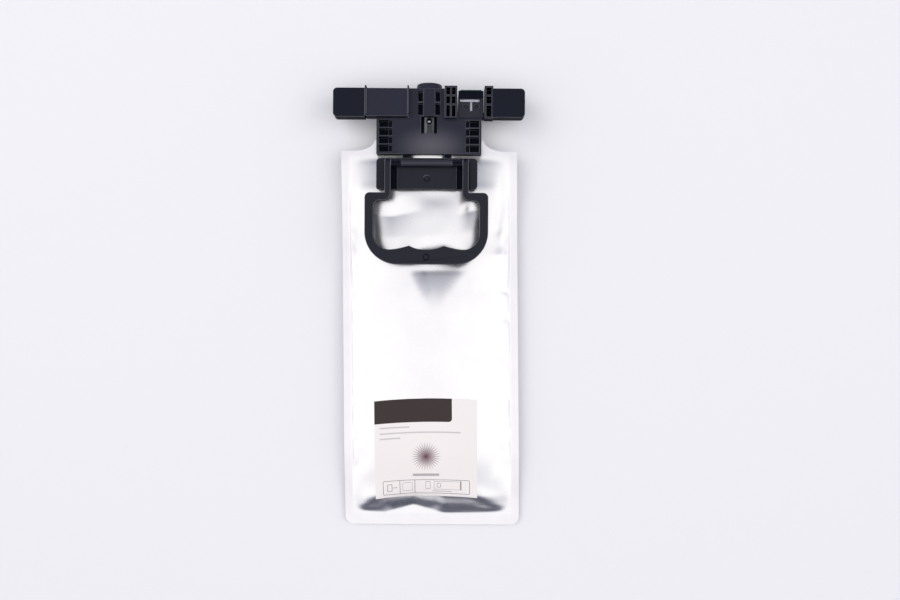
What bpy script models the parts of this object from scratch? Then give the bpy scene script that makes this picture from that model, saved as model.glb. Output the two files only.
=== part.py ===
"""Ink supply pack: a foil pouch clamped in a moulded head, with a hinged handle and a sprung outlet valve.

It lies on its back: +Y points to the ink outlet, +Z up out of the table, +X to the right.
"""

import math

import bmesh
import bpy
from mathutils import Matrix, Vector

MM = 0.001

# Clearances, and how close two corners are made into one
GAP = 0.3 * MM
RUNNING_GAP = 0.6 * MM
WELD = 0.002 * MM

# Whole pack, from the outlet's mouth to the pouch's bottom edge
PACK_LENGTH = 245.6 * MM

# Head: the bar across the front, with its middle and two wings
BAR_WIDTH = 104.6 * MM
BAR_MIDDLE_WIDTH = 70.0 * MM
BAR_DEPTH = 15.8 * MM
BAR_BOTTOM = 11.0 * MM
BAR_TOP = 20.0 * MM
WING_CORNER = 2.2 * MM
MOULD_WALL = 1.6 * MM
FIN_THICKNESS = 0.8 * MM
FIN_PROUD = 1.4 * MM
FIN_RISE = 0.4 * MM
FIN_FROM_COLLAR = 4.5 * MM
PLATE_RECESS = 0.5 * MM
PLATE_CORNER = 1.5 * MM

# Head: the neck that clamps the pouch
NECK_WIDTH = 57.6 * MM
NECK_LENGTH = 19.6 * MM
DECK_TOP = 16.5 * MM
POCKET_ROWS = 4
POCKET_INSET = 1.1 * MM
POCKET_REACH = 7.5 * MM
POCKET_RIB = 0.7 * MM
POCKET_STEP = 2.4 * MM
POCKET_DEEP = 4.6 * MM
POCKET_SHALLOW = 1.8 * MM

# Head: the ribbed key blocks and the bay for the chip's insert
BLOCK_A_FROM_COLLAR = 1.6 * MM
BLOCK_A_WIDTH = 6.9 * MM
BLOCK_B_WIDTH = 4.7 * MM
BLOCK_BOTTOM = 9.0 * MM
BLOCK_BACK = 0.5 * MM
BLOCK_RIB = 1.0 * MM
BLOCK_POCKET = 3.9 * MM
BLOCK_WALL = 0.9 * MM
BLOCK_FLOOR = 1.4 * MM
BLOCK_ROWS = 3
BRIDGE_DEPTH = 3.9 * MM
BRIDGE_THICKNESS = 2.6 * MM

# Outlet: collar, spout, rubber seal, valve and spring
PORT_HEIGHT = 9.55 * MM
COLLAR_RADIUS = 6.9 * MM
COLLAR_PROUD = 3.9 * MM
COLLAR_EDGE = 0.7 * MM
FRONT_STEP = 0.6 * MM
FRONT_BOTTOM = 1.5 * MM
SPINE_WIDTH = 5.8 * MM
SPINE_RISE = 0.9 * MM
SPINE_POCKET = 2.7 * MM
SPINE_POCKET_DEPTH = 3.4 * MM
SPINE_POCKET_RIB = 0.8 * MM
SPINE_POCKET_SIDE = 0.5 * MM
SPINE_FRONT_POCKET = 5.6 * MM
CHAMBER_LENGTH = 16.0 * MM
CHAMBER_BORE = 2.8 * MM
CHAMBER_WALL = 1.0 * MM
CHAMBER_END = 1.2 * MM
INK_BORE = 1.1 * MM
CAP_RADIUS = 4.9 * MM
CAP_THICKNESS = 1.5 * MM
CAP_SET_BACK = 0.4 * MM
NEEDLE_HOLE = 1.9 * MM
SEAL_LENGTH = 3.2 * MM
SEAL_HOLE = 0.9 * MM
POPPET_HEAD = 2.6 * MM
POPPET_STEM_RADIUS = 1.0 * MM
VALVE_TRAVEL = 3.0 * MM
SPRING_WIRE = 0.4 * MM
SPRING_RADIUS = 1.6 * MM
SPRING_TURNS = 5

# Spout behind the chamber: the tongue with the filling hole, and the boat that the films are welded to
TONGUE_WIDTH = 5.8 * MM
TONGUE_TOP = 14.2 * MM
TONGUE_EDGE = 0.8 * MM
SLOT_WIDTH = 1.5 * MM
WINDOW_LENGTH = 9.4 * MM
WINDOW_IN_SPINE = 1.0 * MM
BALL_RADIUS = 1.4 * MM
BALL_FROM_CHAMBER = 2.8 * MM
BALL_SEAT_RADIUS = 0.8 * MM
OVAL_RADIUS = 1.1 * MM
OVAL_LENGTH = 4.0 * MM
OVAL_DEPTH = 0.8 * MM
BOAT_HALF_WIDTH = 15.0 * MM
BOAT_HALF_HEIGHT = 3.0 * MM

# Head: lower cover
COVER_WALL = 1.5 * MM
HOOK_WIDTH = 4.0 * MM
HOOK_THICKNESS = 1.1 * MM
HOOK_RISE = 3.2 * MM
HOOK_BARB = 0.4 * MM
HOOK_NOTCH = 1.0 * MM
CRADLE_THICKNESS = 1.2 * MM

# Insert in the bay, with its circuit board
INSERT_TOP = 19.2 * MM
SHELF_THICKNESS = 3.6 * MM
INSERT_SIDE = 0.8 * MM
WINDOW_SET_BACK = 4.2 * MM
T_BAR_LENGTH = 10.9 * MM
T_BAR_WIDTH = 1.5 * MM
T_STEM_LENGTH = 5.0 * MM
T_STEM_WIDTH = 1.3 * MM
T_SHIFT = -0.6 * MM
T_STEM_SHIFT = 0.8 * MM
LENS_LENGTH = 3.6 * MM
LENS_WIDTH = 2.7 * MM
LENS_DEPTH = 1.4 * MM
SEAT_SLOPE = math.radians(12.0)
SEAT_BOTTOM = 8.0 * MM
SEAT_LEDGE = 2.2 * MM
INSERT_SET_BACK = 1.2 * MM
INSERT_SIDE_GAP = 0.6 * MM
BOARD_SIDE_GAP = 0.35 * MM
BOARD_END_GAP = 0.4 * MM
BOARD_THICKNESS = 0.9 * MM
PAD_WIDTH = 1.1 * MM
PAD_HEIGHT = 1.9 * MM
PAD_RISE = 0.1 * MM
PAD_GAP = 0.75 * MM
PAD_ROW_GAP = 0.55 * MM
RESIN_WIDTH = 5.0 * MM
RESIN_HEIGHT = 4.0 * MM
RESIN_DEPTH = 0.8 * MM

# Handle and the plate that it is hinged on
HANDLE_SHIFT = -1.0 * MM
HANDLE_THICKNESS = 4.8 * MM
HANDLE_WIDTH = 67.1 * MM
HANDLE_LENGTH = 55.1 * MM
HANDLE_SIDE = 4.9 * MM
HANDLE_GRIP = 8.0 * MM
HANDLE_CORNER = 17.5 * MM
HANDLE_EDGE = 0.5 * MM
ARM_OUTER = 22.8 * MM
ARM_WIDTH = 3.3 * MM
SHOULDER_FROM_HINGE = 16.2 * MM
SHOULDER_THICKNESS = 4.3 * MM
SHOULDER_CORNER = 2.7 * MM
OPENING_CORNER = 8.5 * MM
S_CURVE_OUTER = 3.8 * MM
S_CURVE_INNER = 3.3 * MM
FINGER_SPACING = 18.7 * MM
FINGER_DEPTH = 2.1 * MM
INNER_SWEEP = 2.4
OUTER_SWEEP = 1.6
BARREL_LENGTH = 27.0 * MM
BARREL_RADIUS = 1.9 * MM
PIN_RADIUS = 0.9 * MM
PIN_LENGTH = 3.0 * MM
MARK_RADIUS = 1.8 * MM
MARK_DEPTH = 0.3 * MM
MARK_RING = 0.5 * MM
BASE_WIDTH = 55.4 * MM
BASE_LENGTH = 17.0 * MM
BASE_FROM_NECK = 2.5 * MM
BASE_BOTTOM = 15.0 * MM
BASE_TOP = 17.8 * MM
BASE_CORNER = 2.2 * MM
BASE_FLOOR = 1.0 * MM
BASE_PAD_WIDTH = 32.6 * MM
BASE_PAD_DROP = 0.4 * MM
BASE_LIP_RISE = 0.9 * MM
BASE_LIP_WIDTH = 35.0 * MM
BASE_LIP_DEPTH = 0.8 * MM
HINGE_FROM_BACK = 3.1 * MM
WEB_THICKNESS = 1.6 * MM
TAB_WIDTH = 4.0 * MM
TAB_SPACING = 23.0 * MM
TAB_THICKNESS = 1.1 * MM
TAB_REACH = 3.0 * MM

# Pouch and its label
BAG_WIDTH = 97.6 * MM
BAG_CORNER = 5.0 * MM
SIDE_SEAL = 4.2 * MM
BOTTOM_SEAL = 6.2 * MM
FILM = 0.6 * MM
SHOULDER_CURVE = 12.0 * MM
SHOULDER_RISE = 6.0 * MM
CLAMPED_LENGTH = 8.5 * MM
CROWN = 19.2 * MM
LOWER_CROWN = ((5.0 * MM, 0.36), (11.7 * MM, 0.62), (21.7 * MM, 0.82), (38.6 * MM, 0.96))
HANDLE_REST = 17.8 * MM
SEAM_LOW = 2.0 * MM
SEAM_MIDDLE = 6.0 * MM
TOP_FULLNESS = 0.82
FLAT_SHARE = 1.2
WEDGE_ROW = 1.6 * MM
WEDGE_ROWS = 10
MIDDLE_ROWS = 22
NECK_ROWS = 12
MOUTH_COLUMNS = 5
SIDE_COLUMNS = 7
LABEL_ROWS = 18
LABEL_WIDTH = 56.5 * MM
LABEL_LENGTH = 53.8 * MM
LABEL_FROM_BOTTOM = 17.9 * MM
LABEL_SHIFT = -1.6 * MM
LABEL_THICKNESS = 0.25 * MM

# Places that follow from the sizes above
FRONT = PACK_LENGTH / 2
BAR_FRONT = FRONT - COLLAR_PROUD
BAR_BACK = BAR_FRONT - BAR_DEPTH
NECK_FRONT = BAR_BACK
NECK_BACK = NECK_FRONT - NECK_LENGTH
PORT_FRONT = BAR_FRONT + FRONT_STEP
BAR_HALF = BAR_WIDTH / 2
NECK_HALF = NECK_WIDTH / 2
WING_INNER = BAR_MIDDLE_WIDTH / 2
LEFT_FIN = -WING_INNER + FIN_THICKNESS / 2
INNER_FIN = -COLLAR_RADIUS - FIN_FROM_COLLAR
BLOCK_A_LEFT = COLLAR_RADIUS + BLOCK_A_FROM_COLLAR
BLOCK_A_RIGHT = BLOCK_A_LEFT + BLOCK_A_WIDTH
BLOCK_B_LEFT = WING_INNER - BLOCK_B_WIDTH
BRIDGE_FRONT = BAR_BACK + BRIDGE_DEPTH
BRIDGE_TOP = BAR_BOTTOM + BRIDGE_THICKNESS
CHAMBER_RADIUS = CHAMBER_BORE + CHAMBER_WALL
CHAMBER_FRONT = FRONT - CAP_SET_BACK - CAP_THICKNESS - GAP
CHAMBER_BACK = CHAMBER_FRONT - CHAMBER_LENGTH
TONGUE_END = CHAMBER_BACK + CHAMBER_END / 2
COLLAR_BACK = PORT_FRONT - MOULD_WALL
WINDOW_FRONT = NECK_FRONT + WINDOW_IN_SPINE
SEAM_HEIGHT = PORT_HEIGHT
UPPER_PARTING = SEAM_HEIGHT + FILM / 2 + GAP
LOWER_PARTING = SEAM_HEIGHT - FILM / 2 - GAP
POUCH_EDGE = NECK_BACK + CLAMPED_LENGTH
BOAT_BACK = NECK_BACK + MOULD_WALL
BOAT_FRONT = POUCH_EDGE + GAP
POUCH_MOUTH_HALF = BOAT_HALF_WIDTH + FILM
POUCH_MOUTH_RISE = BOAT_HALF_HEIGHT + FILM
NECK_ROOM_HALF = NECK_HALF - POCKET_INSET - POCKET_REACH - MOULD_WALL
TAB_BOTTOM = DECK_TOP - MOULD_WALL / 2 - GAP - TAB_THICKNESS
BASE_BACK = NECK_BACK - BASE_FROM_NECK
BASE_FRONT = BASE_BACK - BASE_LENGTH
HINGE_Y = BASE_BACK - HINGE_FROM_BACK
HANDLE_UNDER = BASE_TOP + GAP
HINGE_Z = HANDLE_UNDER + HANDLE_THICKNESS / 2
HANDLE_END = HINGE_Y - HANDLE_LENGTH
BAG_BOTTOM = -FRONT
BAG_HALF = BAG_WIDTH / 2
BAG_SHOULDER = NECK_BACK + CLAMPED_LENGTH - SHOULDER_RISE
LABEL_END = BAG_BOTTOM + LABEL_FROM_BOTTOM
SHELF_BOTTOM = BRIDGE_TOP + GAP
SHELF_TOP = SHELF_BOTTOM + SHELF_THICKNESS
INSERT_LEFT = BLOCK_A_RIGHT + INSERT_SIDE_GAP
INSERT_RIGHT = BLOCK_B_LEFT - INSERT_SIDE_GAP
INSERT_MIDDLE = (INSERT_LEFT + INSERT_RIGHT) / 2
INSERT_FRONT = BAR_FRONT - INSERT_SET_BACK
SEAT_TOP = INSERT_TOP - SEAT_LEDGE
BOARD_WIDTH = INSERT_RIGHT - INSERT_LEFT - 2 * (INSERT_SIDE + BOARD_SIDE_GAP)
BOARD_HEIGHT = (SEAT_TOP - SEAT_BOTTOM) / math.cos(SEAT_SLOPE) - 2 * BOARD_END_GAP


def smooth_step(t):
    """Eases from 0 to 1 as t does, flat at both ends."""
    t = min(max(t, 0.0), 1.0)
    return t * t * (3 - 2 * t)


def through(stations, y):
    """Reads a height at y on the smooth curve through (y, height) stations, listed from low y to high."""
    if y <= stations[0][0]:
        return stations[0][1]
    if y >= stations[-1][0]:
        return stations[-1][1]
    slopes = [0.0]
    for (y0, z0), (y1, z1), (y2, z2) in zip(stations, stations[1:], stations[2:]):
        before = (z1 - z0) / (y1 - y0)
        after = (z2 - z1) / (y2 - y1)
        turns = before * after <= 0
        slopes.append(0.0 if turns else 2 * before * after / (before + after))
    slopes.append(0.0)
    i = max(k for k in range(len(stations) - 1) if stations[k][0] <= y)
    (y0, z0), (y1, z1) = stations[i], stations[i + 1]
    span = y1 - y0
    t = (y - y0) / span
    rise = z0 + (z1 - z0) * t * t * (3 - 2 * t)
    return rise + span * t * (1 - t) * (slopes[i] * (1 - t) - slopes[i + 1] * t)


def new_object(name, mesh):
    """Puts a mesh in the scene under a name."""
    obj = bpy.data.objects.new(name, mesh)
    bpy.context.scene.collection.objects.link(obj)
    return obj


def from_bmesh(name, shape):
    """Turns a bmesh into an object with its faces pointing out."""
    bmesh.ops.recalc_face_normals(shape, faces=shape.faces)
    mesh = bpy.data.meshes.new(name)
    shape.to_mesh(mesh)
    shape.free()
    return new_object(name, mesh)


def block(name, x, y, z):
    """Makes a box from its x, y and z ranges."""
    shape = bmesh.new()
    bmesh.ops.create_cube(shape, size=1)
    size = Vector((x[1] - x[0], y[1] - y[0], z[1] - z[0]))
    middle = Vector((x[0] + x[1], y[0] + y[1], z[0] + z[1])) / 2
    bmesh.ops.scale(shape, vec=size, verts=shape.verts)
    bmesh.ops.translate(shape, vec=middle, verts=shape.verts)
    return from_bmesh(name, shape)


def prism(name, outline, low, high, axis="Z"):
    """Extrudes a flat outline from low to high along an axis. Outlines along X are given as (y, z)."""
    shape = bmesh.new()
    place = {
        "X": lambda a, b: Vector((low, a, b)),
        "Y": lambda a, b: Vector((a, low, b)),
        "Z": lambda a, b: Vector((a, b, low)),
    }[axis]
    along = {"X": (1, 0, 0), "Y": (0, 1, 0), "Z": (0, 0, 1)}[axis]
    face = shape.faces.new([shape.verts.new(place(a, b)) for a, b in outline])
    grown = bmesh.ops.extrude_face_region(shape, geom=[face])
    moved = [item for item in grown["geom"] if isinstance(item, bmesh.types.BMVert)]
    bmesh.ops.translate(shape, vec=Vector(along) * (high - low), verts=moved)
    return from_bmesh(name, shape)


def arc(centre, radius, start, end, steps):
    """Lists points of a circular arc, with its angles in degrees."""
    points = []
    for i in range(steps + 1):
        angle = math.radians(start + (end - start) * i / steps)
        points.append((centre[0] + radius * math.cos(angle), centre[1] + radius * math.sin(angle)))
    return points


def rounded_rectangle(x, y, radii, steps=5):
    """Outlines a rectangle whose corners, from lower left and anticlockwise, have their own radii."""
    corners = [(x[0], y[0], 1, 1), (x[1], y[0], -1, 1), (x[1], y[1], -1, -1), (x[0], y[1], 1, -1)]
    points = []
    for i, (corner_x, corner_y, inward_x, inward_y) in enumerate(corners):
        radius = radii[i]
        if radius == 0:
            points.append((corner_x, corner_y))
            continue
        centre = (corner_x + inward_x * radius, corner_y + inward_y * radius)
        points += arc(centre, radius, 180 + 90 * i, 270 + 90 * i, steps)
    return points


def rod(name, profile, segments=32):
    """Turns a closed profile of (y, radius) points about the outlet's axis."""
    shape = bmesh.new()
    rings = []
    for i in range(segments):
        angle = 2 * math.pi * i / segments
        ring = []
        for y, radius in profile:
            offset = Vector((radius * math.cos(angle), y, PORT_HEIGHT + radius * math.sin(angle)))
            ring.append(shape.verts.new(offset))
        rings.append(ring)
    for i in range(segments):
        here = rings[i]
        there = rings[(i + 1) % segments]
        for j in range(len(profile)):
            k = (j + 1) % len(profile)
            if profile[j][1] > 0 or profile[k][1] > 0:
                shape.faces.new((here[j], here[k], there[k], there[j]))
    bmesh.ops.remove_doubles(shape, verts=shape.verts, dist=WELD)
    return from_bmesh(name, shape)


def cylinder(name, radius, start, end, segments=32):
    """Makes a solid cylinder between two points."""
    start = Vector(start)
    end = Vector(end)
    shape = bmesh.new()
    length = (end - start).length
    bmesh.ops.create_cone(
        shape, cap_ends=True, segments=segments, radius1=radius, radius2=radius, depth=length
    )
    turn = (end - start).to_track_quat("Z", "Y").to_matrix().to_4x4()
    bmesh.ops.transform(shape, matrix=Matrix.Translation((start + end) / 2) @ turn, verts=shape.verts)
    return from_bmesh(name, shape)


def bake(obj):
    """Replaces an object's mesh by what its modifiers give."""
    graph = bpy.context.evaluated_depsgraph_get()
    mesh = bpy.data.meshes.new_from_object(obj.evaluated_get(graph))
    obj.modifiers.clear()
    shape = bmesh.new()
    shape.from_mesh(mesh)
    bmesh.ops.remove_doubles(shape, verts=shape.verts, dist=WELD)
    bmesh.ops.dissolve_degenerate(shape, dist=WELD, edges=shape.edges)
    shape.to_mesh(mesh)
    shape.free()
    obj.data = mesh


def combine(body, tools, operation):
    """Unites the body with the tools, or cuts them out of it."""
    for tool in tools:
        change = body.modifiers.new(tool.name, "BOOLEAN")
        change.operation = operation
        change.object = tool
        change.solver = "EXACT"
        bake(body)
        bpy.data.objects.remove(tool)
    return body


def unite(body, *tools):
    return combine(body, tools, "UNION")


def cut(body, *tools):
    return combine(body, tools, "DIFFERENCE")


def finish(obj, colour, roughness, metallic=0.0, smooth_angle=35, alpha=1.0):
    """Gives an object its own material and its shading."""
    material = bpy.data.materials.new(obj.name)
    material.use_nodes = True
    shader = material.node_tree.nodes["Principled BSDF"]
    shader.inputs["Base Color"].default_value = (*colour, 1)
    shader.inputs["Roughness"].default_value = roughness
    shader.inputs["Metallic"].default_value = metallic
    shader.inputs["Alpha"].default_value = alpha
    obj.data.materials.clear()
    obj.data.materials.append(material)
    obj.data.shade_smooth()
    obj.data.set_sharp_from_angle(angle=math.radians(smooth_angle))
    return obj


BLACK_PLASTIC = (0.018, 0.02, 0.026)
CLEAR_PLASTIC = (0.42, 0.42, 0.44)
RUBBER = (0.02, 0.02, 0.02)
STEEL = (0.6, 0.6, 0.62)
FOIL = (0.86, 0.86, 0.88)
PAPER = (0.84, 0.81, 0.8)
BOARD_GREEN = (0.02, 0.11, 0.06)


def key_block(left, right, columns):
    """Makes a ribbed key block: an upright box with rows of deep pockets open at the top."""
    front = BAR_FRONT + FIN_PROUD
    back = BAR_BACK - BLOCK_BACK
    body = block("key_block", (left, right), (back, front), (BAR_BOTTOM, BAR_TOP))
    foot = block("key_foot", (left, right), (BRIDGE_FRONT, front), (BLOCK_BOTTOM, BAR_BOTTOM + GAP))
    body = unite(body, foot)
    room_x = right - left - 2 * BLOCK_WALL - (columns - 1) * BLOCK_RIB
    width = room_x / columns
    z = (BAR_BOTTOM + BLOCK_FLOOR, BAR_TOP + FIN_PROUD)
    pockets = []
    for column in range(columns):
        x = left + BLOCK_WALL + column * (width + BLOCK_RIB)
        high = front - BLOCK_WALL
        for row in range(BLOCK_ROWS):
            low = high - BLOCK_POCKET
            if row == BLOCK_ROWS - 1:
                low = back + BLOCK_WALL
            pockets.append(block("pocket", (x, x + width), (low, high), z))
            high = low - BLOCK_RIB
    return cut(body, *pockets)


def wing(side):
    """Makes one wing of the bar, a box with rounded outer corners that is open underneath."""
    inner = WING_INNER * side
    outer = BAR_HALF * side
    x = (min(inner, outer), max(inner, outer))
    front = BAR_FRONT
    if side < 0:
        radii = (WING_CORNER, 0, 0, WING_CORNER)
    else:
        radii = (0, WING_CORNER, WING_CORNER, 0)
    outline = rounded_rectangle(x, (BAR_BACK, front), radii)
    body = prism("wing", outline, BAR_BOTTOM, BAR_TOP)
    inside_x = (x[0] + MOULD_WALL, x[1] - MOULD_WALL)
    inside_y = (BAR_BACK + MOULD_WALL, front - MOULD_WALL)
    hollow = block("wing_hollow", inside_x, inside_y, (BAR_BOTTOM - GAP, BAR_TOP - MOULD_WALL))
    return cut(body, hollow)


def left_plate():
    """Makes the smooth plate between the two fins, a shallow box that is open underneath."""
    x = (-WING_INNER - GAP, INNER_FIN)
    y = (BAR_BACK + PLATE_RECESS, BAR_FRONT)
    top = BAR_TOP - PLATE_RECESS
    outline = rounded_rectangle(x, y, (PLATE_CORNER, 0, 0, 0))
    body = prism("left_plate", outline, BAR_BOTTOM, top)
    inside_x = (-WING_INNER + MOULD_WALL, INNER_FIN - MOULD_WALL)
    inside_y = (y[0] + MOULD_WALL, y[1] - MOULD_WALL)
    hollow = block("plate_hollow", inside_x, inside_y, (BAR_BOTTOM - GAP, top - MOULD_WALL))
    return cut(body, hollow)


def fins():
    """Makes the two thin key fins that stand proud of the bar's front and top."""
    made = []
    for x in (LEFT_FIN, INNER_FIN):
        across = (x - FIN_THICKNESS / 2, x + FIN_THICKNESS / 2)
        along = (BAR_BACK + PLATE_RECESS + MOULD_WALL, BAR_FRONT + FIN_PROUD)
        made.append(block("fin", across, along, (BAR_BOTTOM, BAR_TOP + FIN_RISE)))
    return made


def deck():
    """Makes the neck and the middle of the head as one deck, hollow underneath."""
    neck = block("deck", (-NECK_HALF, NECK_HALF), (NECK_BACK, NECK_FRONT + GAP), (UPPER_PARTING, DECK_TOP))
    middle_x = (INNER_FIN - MOULD_WALL / 2, BLOCK_A_LEFT + GAP)
    middle = block("middle", middle_x, (NECK_FRONT - GAP, PORT_FRONT), (UPPER_PARTING, DECK_TOP))
    front_y = (PORT_FRONT - MOULD_WALL, PORT_FRONT)
    front = block("front_wall", middle_x, front_y, (FRONT_BOTTOM, DECK_TOP - GAP))
    spine_x = (-SPINE_WIDTH / 2, SPINE_WIDTH / 2)
    spine_y = (NECK_FRONT - GAP, PORT_FRONT - GAP)
    spine = block("spine", spine_x, spine_y, (DECK_TOP - MOULD_WALL, DECK_TOP + SPINE_RISE))
    body = unite(neck, middle, front, spine)
    under = UPPER_PARTING - GAP
    ceiling = DECK_TOP - MOULD_WALL
    neck_y = (NECK_BACK + MOULD_WALL, NECK_FRONT - MOULD_WALL)
    neck_room = block("neck_room", (-NECK_ROOM_HALF, NECK_ROOM_HALF), neck_y, (under, ceiling))
    beside_pockets = SPINE_WIDTH / 2 + SPINE_POCKET_SIDE + SPINE_POCKET + BLOCK_WALL
    middle_y = (NECK_FRONT - 2 * MOULD_WALL, PORT_FRONT - MOULD_WALL)
    left_x = (INNER_FIN + MOULD_WALL, -beside_pockets)
    left_room = block("left_room", left_x, middle_y, (under, ceiling))
    return cut(body, neck_room, left_room)


def neck_pockets():
    """Cuts for the stepped pockets along both sides of the neck."""
    made = []
    length = (NECK_LENGTH - 2 * POCKET_INSET - (POCKET_ROWS - 1) * POCKET_RIB) / POCKET_ROWS
    outer = NECK_HALF - POCKET_INSET
    for side in (-1, 1):
        for row in range(POCKET_ROWS):
            y = NECK_BACK + POCKET_INSET + row * (length + POCKET_RIB)
            step = outer - POCKET_REACH + POCKET_STEP
            for near, far, depth in (
                (step - GAP, outer, POCKET_DEEP),
                (outer - POCKET_REACH, step, POCKET_SHALLOW),
            ):
                x = (min(near * side, far * side), max(near * side, far * side))
                z = (DECK_TOP - depth, DECK_TOP + SPINE_RISE)
                made.append(block("neck_pocket", x, (y, y + length), z))
    return made


def spine_pockets():
    """Cuts for the four small pockets beside the spine."""
    made = []
    near = SPINE_WIDTH / 2 + SPINE_POCKET_SIDE
    far = near + SPINE_POCKET
    z = (DECK_TOP - SPINE_POCKET_DEPTH, DECK_TOP + SPINE_RISE + GAP)
    front = PORT_FRONT - MOULD_WALL
    middle = front - SPINE_FRONT_POCKET
    back = WINDOW_FRONT + MOULD_WALL / 2
    for side in (-1, 1):
        x = (min(near * side, far * side), max(near * side, far * side))
        for y in ((back, middle - SPINE_POCKET_RIB), (middle, front)):
            made.append(block("spine_pocket", x, y, z))
    return made


def make_header_body():
    """Builds the upper moulding of the head."""
    body = deck()
    chamber_room = CHAMBER_RADIUS + GAP
    mouth_room = CAP_RADIUS + GAP
    collar_profile = [
        (COLLAR_BACK, chamber_room),
        (COLLAR_BACK, COLLAR_RADIUS),
        (FRONT - COLLAR_EDGE, COLLAR_RADIUS),
        (FRONT - COLLAR_EDGE / 3, COLLAR_RADIUS - COLLAR_EDGE / 3),
        (FRONT, COLLAR_RADIUS - COLLAR_EDGE),
        (FRONT, mouth_room),
        (CHAMBER_FRONT, mouth_room),
        (CHAMBER_FRONT, chamber_room),
    ]
    channel_start = (0, CHAMBER_BACK - GAP, PORT_HEIGHT)
    channel_end = (0, PORT_FRONT + MM, PORT_HEIGHT)
    channel = cylinder("channel", chamber_room + GAP / 2, channel_start, channel_end, 48)
    body = cut(body, channel)
    collar = rod("collar", collar_profile, segments=48)
    body = unite(body, collar, left_plate(), wing(-1), *fins())
    bar_x = (BLOCK_A_RIGHT - GAP, WING_INNER + GAP)
    bridge = block("bridge", bar_x, (BAR_BACK, BRIDGE_FRONT), (BAR_BOTTOM, BRIDGE_TOP))
    key_a = key_block(BLOCK_A_LEFT, BLOCK_A_RIGHT, 2)
    key_b = key_block(BLOCK_B_LEFT, WING_INNER, 1)
    body = unite(body, key_a, key_b, bridge, wing(1))
    window_y = (WINDOW_FRONT - WINDOW_LENGTH, WINDOW_FRONT)
    window_half = TONGUE_WIDTH / 2 + SLOT_WIDTH
    window_z = (UPPER_PARTING, DECK_TOP + SPINE_RISE + GAP)
    window = block("window", (-window_half, window_half), window_y, window_z)
    passage_x = (-TONGUE_WIDTH / 2 - GAP, TONGUE_WIDTH / 2 + GAP)
    passage_y = (NECK_FRONT - 2 * MOULD_WALL, TONGUE_END + GAP)
    passage = block("passage", passage_x, passage_y, (UPPER_PARTING - GAP, TONGUE_TOP + GAP))
    pouch_mouth = prism(
        "pouch_mouth",
        lens(POUCH_MOUTH_HALF + 1.5 * MOULD_WALL, POUCH_MOUTH_RISE + GAP, SEAM_HEIGHT),
        NECK_BACK - GAP,
        NECK_BACK + MOULD_WALL + GAP,
        axis="Y",
    )
    tab_slots = []
    for side in (-1, 1):
        middle = HANDLE_SHIFT + side * TAB_SPACING / 2
        half = TAB_WIDTH / 2 + GAP
        x = (middle - half, middle + half)
        z = (TAB_BOTTOM - GAP, TAB_BOTTOM + TAB_THICKNESS + GAP)
        tab_slots.append(block("tab_slot", x, (NECK_BACK - GAP, NECK_BACK + TAB_REACH + GAP), z))
    cuts = [window, passage, pouch_mouth]
    body = cut(body, *cuts, *tab_slots, *neck_pockets(), *spine_pockets(), *hook_notches())
    body.name = "header_body"
    return finish(body, BLACK_PLASTIC, 0.38)


def lens(half_width, half_height, middle, steps=12):
    """Outlines a flat pointed lens as (x, z) points."""
    points = []
    for i in range(steps + 1):
        x = -half_width + 2 * half_width * i / steps
        points.append((x, middle - half_height * (1 - (x / half_width) ** 2)))
    for i in range(1, steps):
        x = half_width - 2 * half_width * i / steps
        points.append((x, middle + half_height * (1 - (x / half_width) ** 2)))
    return points


def hook_range():
    """Gives the y range of the lower cover's snap hooks, just in front of the pouch's edge."""
    start = POUCH_EDGE + GAP + MOULD_WALL / 2
    return (start, start + HOOK_WIDTH)


def hook_notches():
    """Cuts the notches in the neck's inner walls that the cover's hooks catch in."""
    made = []
    y = hook_range()
    top = UPPER_PARTING + HOOK_RISE
    for side in (-1, 1):
        near = NECK_ROOM_HALF - GAP
        far = NECK_ROOM_HALF + HOOK_NOTCH
        x = (min(near * side, far * side), max(near * side, far * side))
        z = (top - HOOK_NOTCH - GAP, top + GAP)
        made.append(block("hook_notch", x, (y[0] - GAP, y[1] + GAP), z))
    return made


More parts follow.
